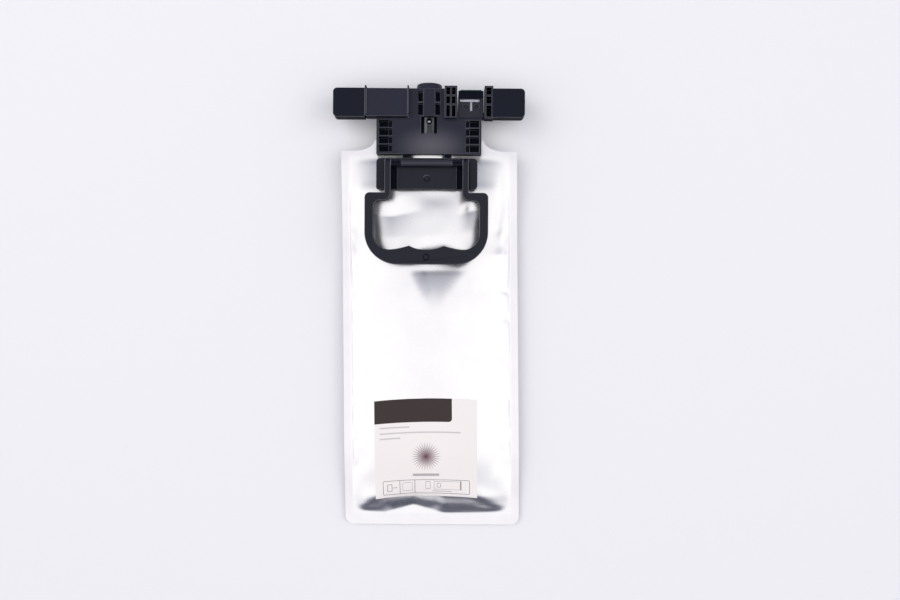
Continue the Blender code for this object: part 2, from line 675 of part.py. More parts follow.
def make_header_cover():
    """Builds the lower moulding: a tray that clamps the pouch's top edge and carries the spout."""
    body = block("tray", (-NECK_HALF, NECK_HALF), (NECK_BACK, NECK_FRONT - GAP), (0, LOWER_PARTING))
    rim_top = UPPER_PARTING - GAP
    rim_y = (POUCH_EDGE + GAP, NECK_FRONT - GAP)
    rim = block("rim", (-NECK_HALF, NECK_HALF), rim_y, (COVER_WALL, rim_top))
    front_x = (INNER_FIN - MOULD_WALL / 2, BLOCK_A_LEFT - GAP)
    front_end = PORT_FRONT - MOULD_WALL - GAP
    front = block("front_tray", front_x, (rim_y[0], front_end), (0, rim_top))
    body = unite(body, rim, front)
    inside_x = (-NECK_HALF + COVER_WALL, NECK_HALF - COVER_WALL)
    inside_y = (NECK_BACK + COVER_WALL, NECK_FRONT - GAP - COVER_WALL)
    inside = block("inside", inside_x, inside_y, (COVER_WALL, DECK_TOP))
    front_inside_x = (front_x[0] + COVER_WALL, front_x[1] - COVER_WALL)
    front_inside = block("front_inside", front_inside_x, (inside_y[0], FRONT), (COVER_WALL, DECK_TOP))
    body = cut(body, inside, front_inside)
    ribs = []
    chamber_room = CHAMBER_RADIUS + GAP + CRADLE_THICKNESS
    for y in (CHAMBER_BACK + CRADLE_THICKNESS, COLLAR_BACK - 2 * CRADLE_THICKNESS):
        rib_y = (y, y + CRADLE_THICKNESS)
        rib_z = (COVER_WALL / 2, PORT_HEIGHT - GAP)
        ribs.append(block("cradle", (-chamber_room, chamber_room), rib_y, rib_z))
    for y in (BOAT_BACK, BOAT_FRONT - 3 * CRADLE_THICKNESS):
        rib_x = (-POUCH_MOUTH_HALF, POUCH_MOUTH_HALF)
        ribs.append(block("boat_rib", rib_x, (y, y + CRADLE_THICKNESS), (COVER_WALL / 2, LOWER_PARTING)))
    for side in (-1, 1):
        outer = NECK_ROOM_HALF - GAP
        inner = outer - HOOK_THICKNESS
        x = (min(inner * side, outer * side), max(inner * side, outer * side))
        top = UPPER_PARTING + HOOK_RISE
        ribs.append(block("hook", x, hook_range(), (COVER_WALL / 2, top - GAP)))
        barb = NECK_ROOM_HALF + HOOK_BARB
        x = (min(inner * side, barb * side), max(inner * side, barb * side))
        ribs.append(block("barb", x, hook_range(), (top - HOOK_NOTCH, top - GAP)))
    body = unite(body, *ribs)
    low = (0, CHAMBER_BACK - 2 * GAP, PORT_HEIGHT)
    high = (0, FRONT, PORT_HEIGHT)
    channel = cylinder("channel", CHAMBER_RADIUS + GAP, low, high, 40)
    mouth = prism(
        "pouch_mouth",
        lens(POUCH_MOUTH_HALF + 1.5 * MOULD_WALL, POUCH_MOUTH_RISE + GAP, SEAM_HEIGHT),
        NECK_BACK - GAP,
        POUCH_EDGE,
        axis="Y",
    )
    body = cut(body, channel, mouth)
    body.name = "header_cover"
    return finish(body, BLACK_PLASTIC, 0.42)


def make_chip_holder():
    """Builds the insert in the bay: a shelf with a T-shaped window, and the sloping seat of the board."""
    x = (INSERT_LEFT, INSERT_RIGHT)
    window_front = INSERT_FRONT - WINDOW_SET_BACK
    window_back = window_front - T_BAR_WIDTH
    shelf = block("shelf", x, (BAR_BACK + GAP, window_front + GAP), (SHELF_BOTTOM, SHELF_TOP))
    seat_foot = INSERT_FRONT - (SEAT_TOP - SEAT_BOTTOM) * math.tan(SEAT_SLOPE)
    section = [
        (window_front, SEAT_BOTTOM),
        (seat_foot, SEAT_BOTTOM),
        (INSERT_FRONT, SEAT_TOP),
        (INSERT_FRONT, INSERT_TOP),
        (window_front, INSERT_TOP),
    ]
    seat = prism("seat", section, x[0], x[1], axis="X")
    cheeks = []
    for low in (x[0], x[1] - INSERT_SIDE):
        y = (BRIDGE_FRONT + GAP, window_front + GAP)
        cheeks.append(block("cheek", (low, low + INSERT_SIDE), y, (SEAT_BOTTOM, SHELF_BOTTOM + GAP)))
    body = unite(shelf, seat, *cheeks)
    middle = INSERT_MIDDLE + T_SHIFT
    bar_x = (middle - T_BAR_LENGTH / 2, middle + T_BAR_LENGTH / 2)
    bar = block("t_bar", bar_x, (window_back, window_front), (SHELF_BOTTOM - GAP, INSERT_TOP))
    middle += T_STEM_SHIFT
    stem_x = (middle - T_STEM_WIDTH / 2, middle + T_STEM_WIDTH / 2)
    stem_y = (window_back - T_STEM_LENGTH, window_back + GAP)
    stem = block("t_stem", stem_x, stem_y, (SHELF_BOTTOM - GAP, INSERT_TOP))
    hollows = []
    for side in (-1, 1):
        from_stem = T_STEM_WIDTH / 2 + MOULD_WALL / 4 + LENS_LENGTH / 2
        outline = []
        for i in range(16):
            angle = 2 * math.pi * i / 16
            x = middle + side * from_stem + LENS_LENGTH / 2 * math.cos(angle)
            y = window_back - LENS_WIDTH + LENS_WIDTH / 2 * math.sin(angle)
            outline.append((x, y))
        hollows.append(prism("lens_hollow", outline, SHELF_TOP - LENS_DEPTH, INSERT_TOP))
    resin_room = slanted_block(
        RESIN_WIDTH + 2 * GAP, RESIN_HEIGHT + 2 * GAP, -RESIN_DEPTH - 2 * GAP, GAP, "resin_room"
    )
    body = cut(body, bar, stem, *hollows, resin_room)
    pins = []
    for height in board_pin_heights():
        pins.append(seat_pin(PAD_WIDTH / 2, height, -BOARD_THICKNESS, BOARD_THICKNESS + 2 * GAP))
    body = unite(body, *pins)
    body.name = "chip_holder"
    return finish(body, BLACK_PLASTIC, 0.4)


def seat_frame():
    """Gives the matrix of the board's seat: x across, y up the slope, z out of the seat."""
    drop = (SEAT_TOP - SEAT_BOTTOM) / 2
    middle = Vector((INSERT_MIDDLE, INSERT_FRONT - drop * math.tan(SEAT_SLOPE), SEAT_BOTTOM + drop))
    across = Vector((-1, 0, 0))
    up = Vector((0, math.sin(SEAT_SLOPE), math.cos(SEAT_SLOPE)))
    out = Vector((0, math.cos(SEAT_SLOPE), -math.sin(SEAT_SLOPE)))
    turn = Matrix((across, up, out)).transposed().to_4x4()
    return Matrix.Translation(middle) @ turn


def slanted_block(width, height, low, high, name, middle=(0, 0)):
    """Makes a box on the board's seat, from low to high above it."""
    x = (middle[0] - width / 2, middle[0] + width / 2)
    y = (middle[1] - height / 2, middle[1] + height / 2)
    made = block(name, x, y, (low, high))
    made.data.transform(seat_frame())
    return made


def seat_pin(radius, height, low, high):
    """Makes a round pin standing on the board's seat."""
    made = cylinder("seat_pin", radius, (0, height, low), (0, height, high), 16)
    made.data.transform(seat_frame())
    return made


def board_pin_heights():
    """Lists where the two locating pins stand, up and down the seat."""
    reach = BOARD_HEIGHT / 2 - PAD_WIDTH
    return (-reach, reach)


def make_chip_board():
    """Builds the small circuit board with two rows of contacts."""
    body = slanted_block(BOARD_WIDTH, BOARD_HEIGHT, GAP, GAP + BOARD_THICKNESS, "chip_board")
    holes = []
    for height in board_pin_heights():
        holes.append(seat_pin(PAD_WIDTH / 2 + GAP, height, 0, BOARD_THICKNESS + 3 * GAP))
    body = cut(body, *holes)
    pads = []
    top = GAP + BOARD_THICKNESS
    pitch = PAD_WIDTH + PAD_GAP
    row_height = (PAD_HEIGHT + PAD_ROW_GAP) / 2
    for count, height in ((4, row_height), (5, -row_height)):
        for i in range(count):
            middle = ((i - (count - 1) / 2) * pitch, height)
            pads.append(slanted_block(PAD_WIDTH, PAD_HEIGHT, top - GAP, top + PAD_RISE, "pad", middle))
    body = unite(body, *pads)
    body.name = "chip_board"
    return finish(body, BOARD_GREEN, 0.45)


def make_chip_resin():
    """Builds the potted memory chip on the board's back."""
    body = slanted_block(RESIN_WIDTH, RESIN_HEIGHT, -RESIN_DEPTH, 0, "chip_resin")
    return finish(body, RUBBER, 0.5)


def make_spout():
    """Builds the spout: valve chamber in front, tongue with the filling hole, and the boat in the pouch."""
    body = cylinder(
        "spout", CHAMBER_RADIUS, (0, CHAMBER_BACK, PORT_HEIGHT), (0, CHAMBER_FRONT, PORT_HEIGHT), 40
    )
    low = 2 * SEAM_HEIGHT - TONGUE_TOP
    x = (-TONGUE_WIDTH / 2, TONGUE_WIDTH / 2)
    outline = rounded_rectangle(x, (low, TONGUE_TOP), (TONGUE_EDGE,) * 4)
    tongue = prism("tongue", outline, BOAT_FRONT - GAP, TONGUE_END, axis="Y")
    outline = lens(BOAT_HALF_WIDTH, BOAT_HALF_HEIGHT, SEAM_HEIGHT)
    boat = prism("boat", outline, BOAT_BACK, BOAT_FRONT, axis="Y")
    body = unite(body, tongue, boat)
    bore_back = CHAMBER_BACK + CHAMBER_END
    chamber = cylinder(
        "chamber", CHAMBER_BORE, (0, bore_back, PORT_HEIGHT), (0, CHAMBER_FRONT + GAP, PORT_HEIGHT), 40
    )
    ink_way = cylinder(
        "ink_way", INK_BORE, (0, BOAT_BACK - GAP, PORT_HEIGHT), (0, bore_back + GAP, PORT_HEIGHT), 24
    )
    ball_y = CHAMBER_BACK - BALL_FROM_CHAMBER
    seat_z = ball_seat()
    well = cylinder("well", BALL_RADIUS + GAP, (0, ball_y, seat_z), (0, ball_y, TONGUE_TOP + GAP), 24)
    hole = cylinder("hole", BALL_SEAT_RADIUS, (0, ball_y, PORT_HEIGHT), (0, ball_y, TONGUE_TOP), 20)
    oval_y = ball_y - BALL_RADIUS - GAP - TONGUE_EDGE - OVAL_LENGTH / 2
    outline = rounded_rectangle(
        (-OVAL_RADIUS, OVAL_RADIUS),
        (oval_y - OVAL_LENGTH / 2, oval_y + OVAL_LENGTH / 2),
        (OVAL_RADIUS - GAP / 10,) * 4,
    )
    oval = prism("oval", outline, TONGUE_TOP - OVAL_DEPTH, TONGUE_TOP + GAP)
    body = cut(body, chamber, ink_way, well, hole, oval)
    body.name = "spout"
    return finish(body, CLEAR_PLASTIC, 0.25)


def ball_seat():
    """Gives the height of the step that the filling ball sits on."""
    return TONGUE_TOP + 2 * GAP - 2 * BALL_RADIUS


def make_fill_ball():
    """Builds the ball that closes the filling hole, seated on the edge of its step."""
    reach = math.sqrt((BALL_RADIUS + GAP) ** 2 - BALL_SEAT_RADIUS**2)
    shape = bmesh.new()
    bmesh.ops.create_uvsphere(shape, u_segments=24, v_segments=14, radius=BALL_RADIUS)
    middle = Vector((0, CHAMBER_BACK - BALL_FROM_CHAMBER, ball_seat() + reach))
    bmesh.ops.translate(shape, vec=middle, verts=shape.verts)
    return finish(from_bmesh("fill_ball", shape), STEEL, 0.15, metallic=1.0, smooth_angle=60)


def make_seal_cap():
    """Builds the ring that keeps the rubber seal in the outlet."""
    front = FRONT - CAP_SET_BACK
    back = front - CAP_THICKNESS
    edge = CAP_THICKNESS / 4
    profile = [
        (back, NEEDLE_HOLE),
        (back, CAP_RADIUS),
        (front - edge, CAP_RADIUS),
        (front, CAP_RADIUS - edge),
        (front, NEEDLE_HOLE + edge),
        (front - edge, NEEDLE_HOLE),
    ]
    return finish(rod("seal_cap", profile), BLACK_PLASTIC, 0.35)


def seal_back():
    """Gives the y of the rubber seal's inner face."""
    return CHAMBER_FRONT - SEAL_LENGTH


def make_port_seal():
    """Builds the rubber seal that the printer's needle goes through."""
    outer = CHAMBER_BORE - GAP
    lip = SEAL_LENGTH / 3
    profile = [
        (seal_back(), SEAL_HOLE + lip / 2),
        (seal_back(), outer),
        (CHAMBER_FRONT, outer),
        (CHAMBER_FRONT, SEAL_HOLE + lip / 2),
        (CHAMBER_FRONT - lip, SEAL_HOLE),
        (seal_back() + lip, SEAL_HOLE),
    ]
    return finish(rod("port_seal", profile), RUBBER, 0.7)


def make_valve_poppet():
    """Builds the sliding valve: a round head against the seal, with a stem inside the spring."""
    front = seal_back() - GAP
    head_back = front - POPPET_HEAD
    stem_back = CHAMBER_BACK + CHAMBER_END + GAP + VALVE_TRAVEL
    outer = CHAMBER_BORE - RUNNING_GAP
    profile = [
        (stem_back, 0),
        (stem_back, POPPET_STEM_RADIUS),
        (head_back, POPPET_STEM_RADIUS),
        (head_back, outer),
        (front - GAP, outer),
        (front, outer - GAP),
        (front, 0),
    ]
    body = finish(rod("valve_poppet", profile), CLEAR_PLASTIC, 0.4)
    body.data.transform(Matrix.Translation((0, -front, -PORT_HEIGHT)))
    body.location = (0, front, PORT_HEIGHT)
    return body


def make_valve_spring():
    """Builds the coil spring between the chamber's end and the valve's head."""
    start = CHAMBER_BACK + CHAMBER_END + GAP + SPRING_WIRE / 2
    end = seal_back() - GAP - POPPET_HEAD - GAP - SPRING_WIRE / 2
    steps = SPRING_TURNS * 14
    curve = bpy.data.curves.new("valve_spring", "CURVE")
    curve.dimensions = "3D"
    curve.bevel_depth = SPRING_WIRE / 2
    curve.bevel_resolution = 2
    curve.use_fill_caps = True
    spline = curve.splines.new("POLY")
    spline.points.add(steps)
    for i, point in enumerate(spline.points):
        t = i / steps
        angle = 2 * math.pi * SPRING_TURNS * t
        y = start + (end - start) * t
        x = SPRING_RADIUS * math.cos(angle)
        z = PORT_HEIGHT + SPRING_RADIUS * math.sin(angle)
        point.co = (x, y, z, 1)
    obj = bpy.data.objects.new("valve_spring", curve)
    bpy.context.scene.collection.objects.link(obj)
    graph = bpy.context.evaluated_depsgraph_get()
    mesh = bpy.data.meshes.new_from_object(obj.evaluated_get(graph))
    bpy.data.objects.remove(obj)
    shape = bmesh.new()
    shape.from_mesh(mesh)
    bmesh.ops.remove_doubles(shape, verts=shape.verts, dist=WELD)
    return finish(from_bmesh("valve_spring", shape), STEEL, 0.3, metallic=1.0)


def make_handle_base():
    """Builds the plate that carries the handle's hinge, with its tabs in the head."""
    left = HANDLE_SHIFT - BASE_WIDTH / 2
    right = HANDLE_SHIFT + BASE_WIDTH / 2
    radii = (BASE_CORNER / 2, BASE_CORNER, BASE_CORNER, BASE_CORNER)
    outline = rounded_rectangle((left, right), (BASE_FRONT, BASE_BACK), radii)
    body = prism("plate", outline, BASE_BOTTOM, BASE_TOP)
    lip_x = (HANDLE_SHIFT - BASE_LIP_WIDTH / 2, HANDLE_SHIFT + BASE_LIP_WIDTH / 2)
    lip_y = (BASE_BACK - BASE_LIP_DEPTH, BASE_BACK)
    lip = block("lip", lip_x, lip_y, (BASE_BOTTOM + GAP, BASE_TOP + BASE_LIP_RISE))
    body = unite(body, lip)
    cuts = []
    pad = BASE_PAD_WIDTH / 2
    channel_y = (BASE_FRONT - GAP, BASE_BACK - MOULD_WALL)
    for side in (-1, 1):
        near = pad
        far = ARM_OUTER + RUNNING_GAP
        x = (HANDLE_SHIFT + min(near * side, far * side), HANDLE_SHIFT + max(near * side, far * side))
        cuts.append(block("channel", x, channel_y, (BASE_BOTTOM + BASE_FLOOR, BASE_TOP + MM)))
    pad_x = (HANDLE_SHIFT - pad - GAP, HANDLE_SHIFT + pad + GAP)
    cuts.append(block("pad_drop", pad_x, channel_y, (BASE_TOP - BASE_PAD_DROP, BASE_TOP + MM)))
    body = cut(body, *cuts)
    web_x = (HANDLE_SHIFT - BARREL_LENGTH / 2, HANDLE_SHIFT + BARREL_LENGTH / 2)
    web_y = (HINGE_Y - WEB_THICKNESS / 2, HINGE_Y + WEB_THICKNESS / 2)
    web = block("web", web_x, web_y, (BASE_BOTTOM + GAP, HINGE_Z))
    barrel_ends = [(x, HINGE_Y, HINGE_Z) for x in web_x]
    barrel = cylinder("barrel", BARREL_RADIUS, *barrel_ends, 32)
    tabs = []
    for side in (-1, 1):
        middle = HANDLE_SHIFT + side * TAB_SPACING / 2
        x = (middle - TAB_WIDTH / 2, middle + TAB_WIDTH / 2)
        y = (BASE_BACK - MOULD_WALL, NECK_BACK + TAB_REACH)
        tabs.append(block("tab", x, y, (TAB_BOTTOM, TAB_BOTTOM + TAB_THICKNESS)))
        y = (BASE_BACK - MOULD_WALL, BASE_BACK)
        tabs.append(block("tab_root", x, y, (TAB_BOTTOM, BASE_BOTTOM + GAP)))
    body = unite(body, web, barrel, *tabs)
    bores = []
    for side in (-1, 1):
        end = HANDLE_SHIFT + side * (BARREL_LENGTH / 2 + GAP)
        inner = end - side * (PIN_LENGTH + 2 * GAP)
        bore_ends = [(x, HINGE_Y, HINGE_Z) for x in (end, inner)]
        bores.append(cylinder("bore", PIN_RADIUS + GAP, *bore_ends, 24))
    mark_y = (BASE_FRONT + HINGE_Y - BARREL_RADIUS) / 2
    mark = ring_mark(HANDLE_SHIFT, mark_y, BASE_TOP - BASE_PAD_DROP)
    body = cut(body, *bores, mark)
    body.name = "handle_base"
    return finish(body, BLACK_PLASTIC, 0.4)


def ring_mark(x, y, top):
    """Makes the cutter of a small round moulding mark sunk into a top face."""
    outer = arc((x, y), MARK_RADIUS, 0, 345, 23)
    ring = prism("mark", outer, top - MARK_DEPTH, top + MARK_DEPTH)
    inner = arc((x, y), MARK_RADIUS - MARK_RING, 0, 345, 23)
    core = prism("mark_core", inner, top - 2 * MARK_DEPTH, top + 2 * MARK_DEPTH)
    return cut(ring, core)


def handle_outline():
    """Outlines the handle's loop in plan, shoulders included, without its arms."""
    shoulder = HINGE_Y - SHOULDER_FROM_HINGE
    half = HANDLE_WIDTH / 2
    right = arc((half - HANDLE_CORNER, HANDLE_END + HANDLE_CORNER), HANDLE_CORNER, -90, 0, 14)
    right += arc((half - SHOULDER_CORNER, shoulder - SHOULDER_CORNER), SHOULDER_CORNER, 0, 90, 6)
    left = [(-x, y) for x, y in reversed(right)]
    return [(x + HANDLE_SHIFT, y) for x, y in right + left]


def opening_outline():
    """Outlines the handle's finger opening in plan, up to beyond its arms' inner sides."""
    shoulder = HINGE_Y - SHOULDER_FROM_HINGE
    inner = HANDLE_WIDTH / 2 - HANDLE_SIDE
    arm = ARM_OUTER - ARM_WIDTH
    low = HANDLE_END + HANDLE_GRIP
    right = []
    reach = inner - OPENING_CORNER
    cusp = FINGER_SPACING / 2
    steps = 8
    for i in range(steps + 1):
        t = i / steps
        right.append((cusp * t, low + FINGER_DEPTH * t**INNER_SWEEP))
    for i in range(1, steps):
        t = i / steps
        right.append((cusp + (reach - cusp) * t, low + FINGER_DEPTH * (1 - t) ** OUTER_SWEEP))
    right += arc((reach, low + OPENING_CORNER), OPENING_CORNER, -90, 0, 9)
    step_y = shoulder - SHOULDER_THICKNESS
    right += arc((inner - S_CURVE_INNER, step_y - S_CURVE_INNER), S_CURVE_INNER, 0, 90, 6)
    right += arc((arm + S_CURVE_OUTER, step_y + S_CURVE_OUTER), S_CURVE_OUTER, -90, -180, 6)
    right.append((arm, shoulder + ARM_WIDTH))
    left = [(-x, y) for x, y in reversed(right[1:])]
    return [(x + HANDLE_SHIFT, y) for x, y in right + left]


def make_handle():
    """Builds the carrying handle: loop, two arms, and the legs whose stub pins turn in the barrel."""
    low = HANDLE_UNDER
    high = HANDLE_UNDER + HANDLE_THICKNESS
    body = prism("handle", handle_outline(), low, high)
    half = HANDLE_THICKNESS / 2
    for side in (-1, 1):
        near = (ARM_OUTER - ARM_WIDTH) * side
        far = ARM_OUTER * side
        x = (HANDLE_SHIFT + min(near, far), HANDLE_SHIFT + max(near, far))
        section = arc((HINGE_Y, HINGE_Z), half, 90, -90, 12)
        end = HINGE_Y - SHOULDER_FROM_HINGE - SHOULDER_THICKNESS / 2
        section += [(end, low), (end, high)]
        arm = prism("arm", section, x[0], x[1], axis="X")
        body = unite(body, arm)
    body = cut(body, prism("opening", opening_outline(), low - GAP, high + GAP))
    edge = body.modifiers.new("edge", "BEVEL")
    edge.width = HANDLE_EDGE
    edge.segments = 1
    edge.limit_method = "ANGLE"
    edge.angle_limit = math.radians(50)
    bake(body)
    for side in (-1, 1):
        root = HANDLE_SHIFT + side * (ARM_OUTER - ARM_WIDTH / 2)
        leg_end = HANDLE_SHIFT + side * (BARREL_LENGTH / 2 + GAP)
        pin_end = HANDLE_SHIFT + side * (BARREL_LENGTH / 2 - PIN_LENGTH)
        start = (root, HINGE_Y, HINGE_Z)
        leg = cylinder("leg", BARREL_RADIUS - GAP / 2, start, (leg_end, HINGE_Y, HINGE_Z), 32)
        pin = cylinder("pin", PIN_RADIUS, start, (pin_end, HINGE_Y, HINGE_Z), 24)
        body = unite(body, leg, pin)
    mark = ring_mark(HANDLE_SHIFT, HANDLE_END + HANDLE_GRIP / 2, high)
    body = cut(body, mark)
    body.data.transform(Matrix.Translation((0, -HINGE_Y, -HINGE_Z)))
    body.location = (0, HINGE_Y, HINGE_Z)
    body.name = "handle"
    return finish(body, BLACK_PLASTIC, 0.36)


def bag_half_width(y):
    """Gives half the pouch's width at y, seals included."""
    from_bottom = y - BAG_BOTTOM
    if from_bottom < BAG_CORNER:
        inset = BAG_CORNER - from_bottom
        return BAG_HALF - BAG_CORNER + math.sqrt(max(BAG_CORNER**2 - inset**2, 0))
    if y <= BAG_SHOULDER:
        return BAG_HALF
    up = min((y - BAG_SHOULDER) / SHOULDER_RISE, 1)
    neck = NECK_HALF + MOULD_WALL
    return neck + SHOULDER_CURVE * (1 - math.sqrt(1 - (1 - up) ** 2))


def bag_seam(y):
    """Gives the height of the pouch's seams at y."""
    return through(
        [
            (BAG_BOTTOM, SEAM_LOW),
            (BAG_BOTTOM + BOTTOM_SEAL, SEAM_LOW + FILM / 2),
            (BAG_BOTTOM + BAG_HALF, SEAM_MIDDLE),
            (HANDLE_END + BAG_HALF / 3, SEAM_MIDDLE),
            (NECK_BACK - MM, SEAM_HEIGHT),
            (POUCH_EDGE, SEAM_HEIGHT),
        ],
        y,
    )


def bag_crown(y):
    """Gives the height of the pouch's top along its middle."""
    seal = BAG_BOTTOM + BOTTOM_SEAL
    end = bag_seam(NECK_BACK)
    under_base = BASE_BOTTOM - GAP
    stations = [(seal, bag_seam(seal))]
    stations += [(seal + distance, share * CROWN) for distance, share in LOWER_CROWN]
    stations += [
        (LABEL_END + LABEL_LENGTH, CROWN),
        (HANDLE_END - BAG_HALF / 2, CROWN - GAP),
        (HANDLE_END - GAP, HANDLE_REST - GAP),
        (HANDLE_END + HANDLE_LENGTH / 2, HANDLE_REST - GAP),
        (BASE_FRONT - GAP, under_base),
        (BASE_FRONT + BASE_LENGTH / 3, (2 * under_base + end) / 3),
        (HINGE_Y, (under_base + 2 * end) / 3),
        (NECK_BACK - MM, end),
    ]
    return through(stations, y)


def mouth_swell(x, y):
    """Gives how far the films stand off the seam where they wrap the spout's boat."""
    fade = smooth_step((y - BASE_FRONT) / (NECK_BACK - MM - BASE_FRONT))
    return POUCH_MOUTH_RISE * fade * max(1 - (x / POUCH_MOUTH_HALF) ** 2, 0)


def bag_top(x, y):
    """Gives the height of the pouch's upper film."""
    body = bag_half_width(y) - SIDE_SEAL
    across = min(abs(x) / body, 1)
    swell = (bag_crown(y) - bag_seam(y)) * (1 - across**2) ** TOP_FULLNESS
    return bag_seam(y) + max(swell, mouth_swell(x, y), FILM / 2)


def bag_bottom(x, y):
    """Gives the height of the pouch's lower film, flat where it lies on the table."""
    body = bag_half_width(y) - SIDE_SEAL
    across = min(abs(x) / body, 1)
    seal = BAG_BOTTOM + BOTTOM_SEAL
    fullness = smooth_step((y - seal) / SIDE_SEAL / 2) * smooth_step((NECK_BACK - y) / BASE_LENGTH)
    depth = bag_seam(y) * fullness * min(FLAT_SHARE * (1 - across**3) ** TOP_FULLNESS, 1)
    return max(bag_seam(y) - max(depth, mouth_swell(x, y), FILM / 2), 0)


def bag_rows():
    """Lists the y of each row of the pouch's mesh, closer together at its ends."""
    corner = [1 - math.cos(math.radians(angle)) for angle in range(0, 91, 15)]
    rows = [BAG_BOTTOM + BAG_CORNER * rise for rise in corner]
    seal = BAG_BOTTOM + BOTTOM_SEAL
    rows += [seal + WEDGE_ROW * i for i in range(WEDGE_ROWS)]
    for end, count in ((BASE_FRONT - 2 * MOULD_WALL, MIDDLE_ROWS), (BAG_SHOULDER, NECK_ROWS)):
        start = rows[-1]
        rows += [start + (end - start) * i / count for i in range(1, count + 1)]
    rows.append(BAG_SHOULDER + GAP / 10)
    rows += [BAG_SHOULDER + SHOULDER_RISE * rise for rise in corner[1:]]
    return rows


def make_ink_bag():
    """Builds the sealed pouch as one solid: pillow, flat seals, and the pocket for the spout's boat."""
    shape = bmesh.new()
    tops = []
    bottoms = []
    for y in bag_rows():
        half = bag_half_width(y)
        outside = half - SIDE_SEAL - POUCH_MOUTH_HALF
        right = [POUCH_MOUTH_HALF * i / MOUTH_COLUMNS for i in range(1, MOUTH_COLUMNS + 1)]
        for i in range(1, SIDE_COLUMNS + 1):
            share = math.sin(math.pi / 2 * i / SIDE_COLUMNS)
            right.append(POUCH_MOUTH_HALF + outside * share)
        right.append(half)
        across = [-x for x in reversed(right)] + [0] + right
        tops.append([shape.verts.new((x, y, bag_top(x, y))) for x in across])
        bottoms.append([shape.verts.new((x, y, bag_bottom(x, y))) for x in across])
    count = len(tops[0])
    for i in range(len(tops) - 1):
        for j in range(count - 1):
            shape.faces.new((tops[i][j], tops[i][j + 1], tops[i + 1][j + 1], tops[i + 1][j]))
            shape.faces.new((bottoms[i][j], bottoms[i + 1][j], bottoms[i + 1][j + 1], bottoms[i][j + 1]))
        for j in (0, count - 1):
            shape.faces.new((tops[i][j], tops[i + 1][j], bottoms[i + 1][j], bottoms[i][j]))
    for i in (0, len(tops) - 1):
        for j in range(count - 1):
            shape.faces.new((tops[i][j], tops[i][j + 1], bottoms[i][j + 1], bottoms[i][j]))
    body = from_bmesh("ink_bag", shape)
    outline = lens(BOAT_HALF_WIDTH + GAP, BOAT_HALF_HEIGHT + GAP, SEAM_HEIGHT)
    pocket = prism("boat_pocket", outline, BOAT_BACK - GAP, POUCH_EDGE + MM, axis="Y")
    body = cut(body, pocket)
    body.name = "ink_bag"
    return finish(body, FOIL, 0.18, metallic=1.0, smooth_angle=50)


def make_label():
    """Builds the paper label, following the pouch's top."""
    shape = bmesh.new()
    layers = []
    for lift in (GAP, GAP + LABEL_THICKNESS):
        layer = []
        for i in range(LABEL_ROWS + 1):
            y = LABEL_END + LABEL_LENGTH * i / LABEL_ROWS
            row = []
            for j in range(LABEL_ROWS + 1):
                x = LABEL_SHIFT + LABEL_WIDTH * (j / LABEL_ROWS - 0.5)
                row.append(shape.verts.new((x, y, bag_top(x, y) + lift)))
            layer.append(row)
        layers.append(layer)
    low, high = layers
    for i in range(LABEL_ROWS):
        for j in range(LABEL_ROWS):
            shape.faces.new((high[i][j], high[i][j + 1], high[i + 1][j + 1], high[i + 1][j]))
            shape.faces.new((low[i][j], low[i + 1][j], low[i + 1][j + 1], low[i][j + 1]))
    for i in range(LABEL_ROWS):
        for j in (0, LABEL_ROWS):
            shape.faces.new((low[i][j], low[i + 1][j], high[i + 1][j], high[i][j]))
    for j in range(LABEL_ROWS):
        for i in (0, LABEL_ROWS):
            shape.faces.new((low[i][j], low[i][j + 1], high[i][j + 1], high[i][j]))
    return finish(from_bmesh("label", shape), PAPER, 0.6)


def main():
    for obj in list(bpy.data.objects):
        bpy.data.objects.remove(obj)
    make_header_body()
    make_header_cover()
    make_chip_holder()
    make_chip_board()
    make_chip_resin()
    make_spout()
    make_fill_ball()
    make_seal_cap()
    make_port_seal()
    make_valve_poppet()
    make_valve_spring()
    make_handle_base()
    make_handle()
    make_ink_bag()
    make_label()


main()
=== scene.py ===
# %% [markdown]
# # An ink supply pack, dressed for its picture
#
# The pack has three parts that you can see from across a room: a moulded black head, a hinged carrying handle and
# a silver pouch with a paper label. The moulded parts already have their true shape in the model that is loaded
# first. They need softened edges and a real plastic surface. The pouch and its label are made new here, because a
# film that holds liquid has puckers and dents that no plain solid shows.
#
# Every length is in metres. The pack lies on its back, with its ink outlet towards +Y and +Z up.

# %% Load the fixed model
import math

import bmesh
import bpy
import numpy as np
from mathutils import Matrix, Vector


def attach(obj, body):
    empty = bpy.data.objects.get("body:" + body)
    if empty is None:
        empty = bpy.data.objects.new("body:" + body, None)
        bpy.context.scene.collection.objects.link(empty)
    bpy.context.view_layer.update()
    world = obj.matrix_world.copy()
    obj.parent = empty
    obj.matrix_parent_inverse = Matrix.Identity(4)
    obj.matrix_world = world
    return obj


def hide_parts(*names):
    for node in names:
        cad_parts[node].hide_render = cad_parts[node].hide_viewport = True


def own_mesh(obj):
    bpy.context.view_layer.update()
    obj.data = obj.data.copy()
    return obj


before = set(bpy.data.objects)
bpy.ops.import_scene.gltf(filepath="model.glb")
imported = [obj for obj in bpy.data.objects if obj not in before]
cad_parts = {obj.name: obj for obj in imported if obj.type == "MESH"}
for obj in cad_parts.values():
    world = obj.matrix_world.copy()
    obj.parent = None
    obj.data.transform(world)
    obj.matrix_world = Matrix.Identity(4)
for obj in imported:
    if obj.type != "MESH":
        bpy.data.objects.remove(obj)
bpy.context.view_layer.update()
MM = 0.001

# %% [markdown]
# ## Camera
#
# The photograph was taken from straight above, from about half a metre. A camera without any rotation looks down
# and has +Y at the top of its picture, so only its place and a small roll are needed. The lens follows from the
# distance: at the table the picture takes in 509 mm, which a 36 mm wide sensor sees through a 36.8 mm lens.

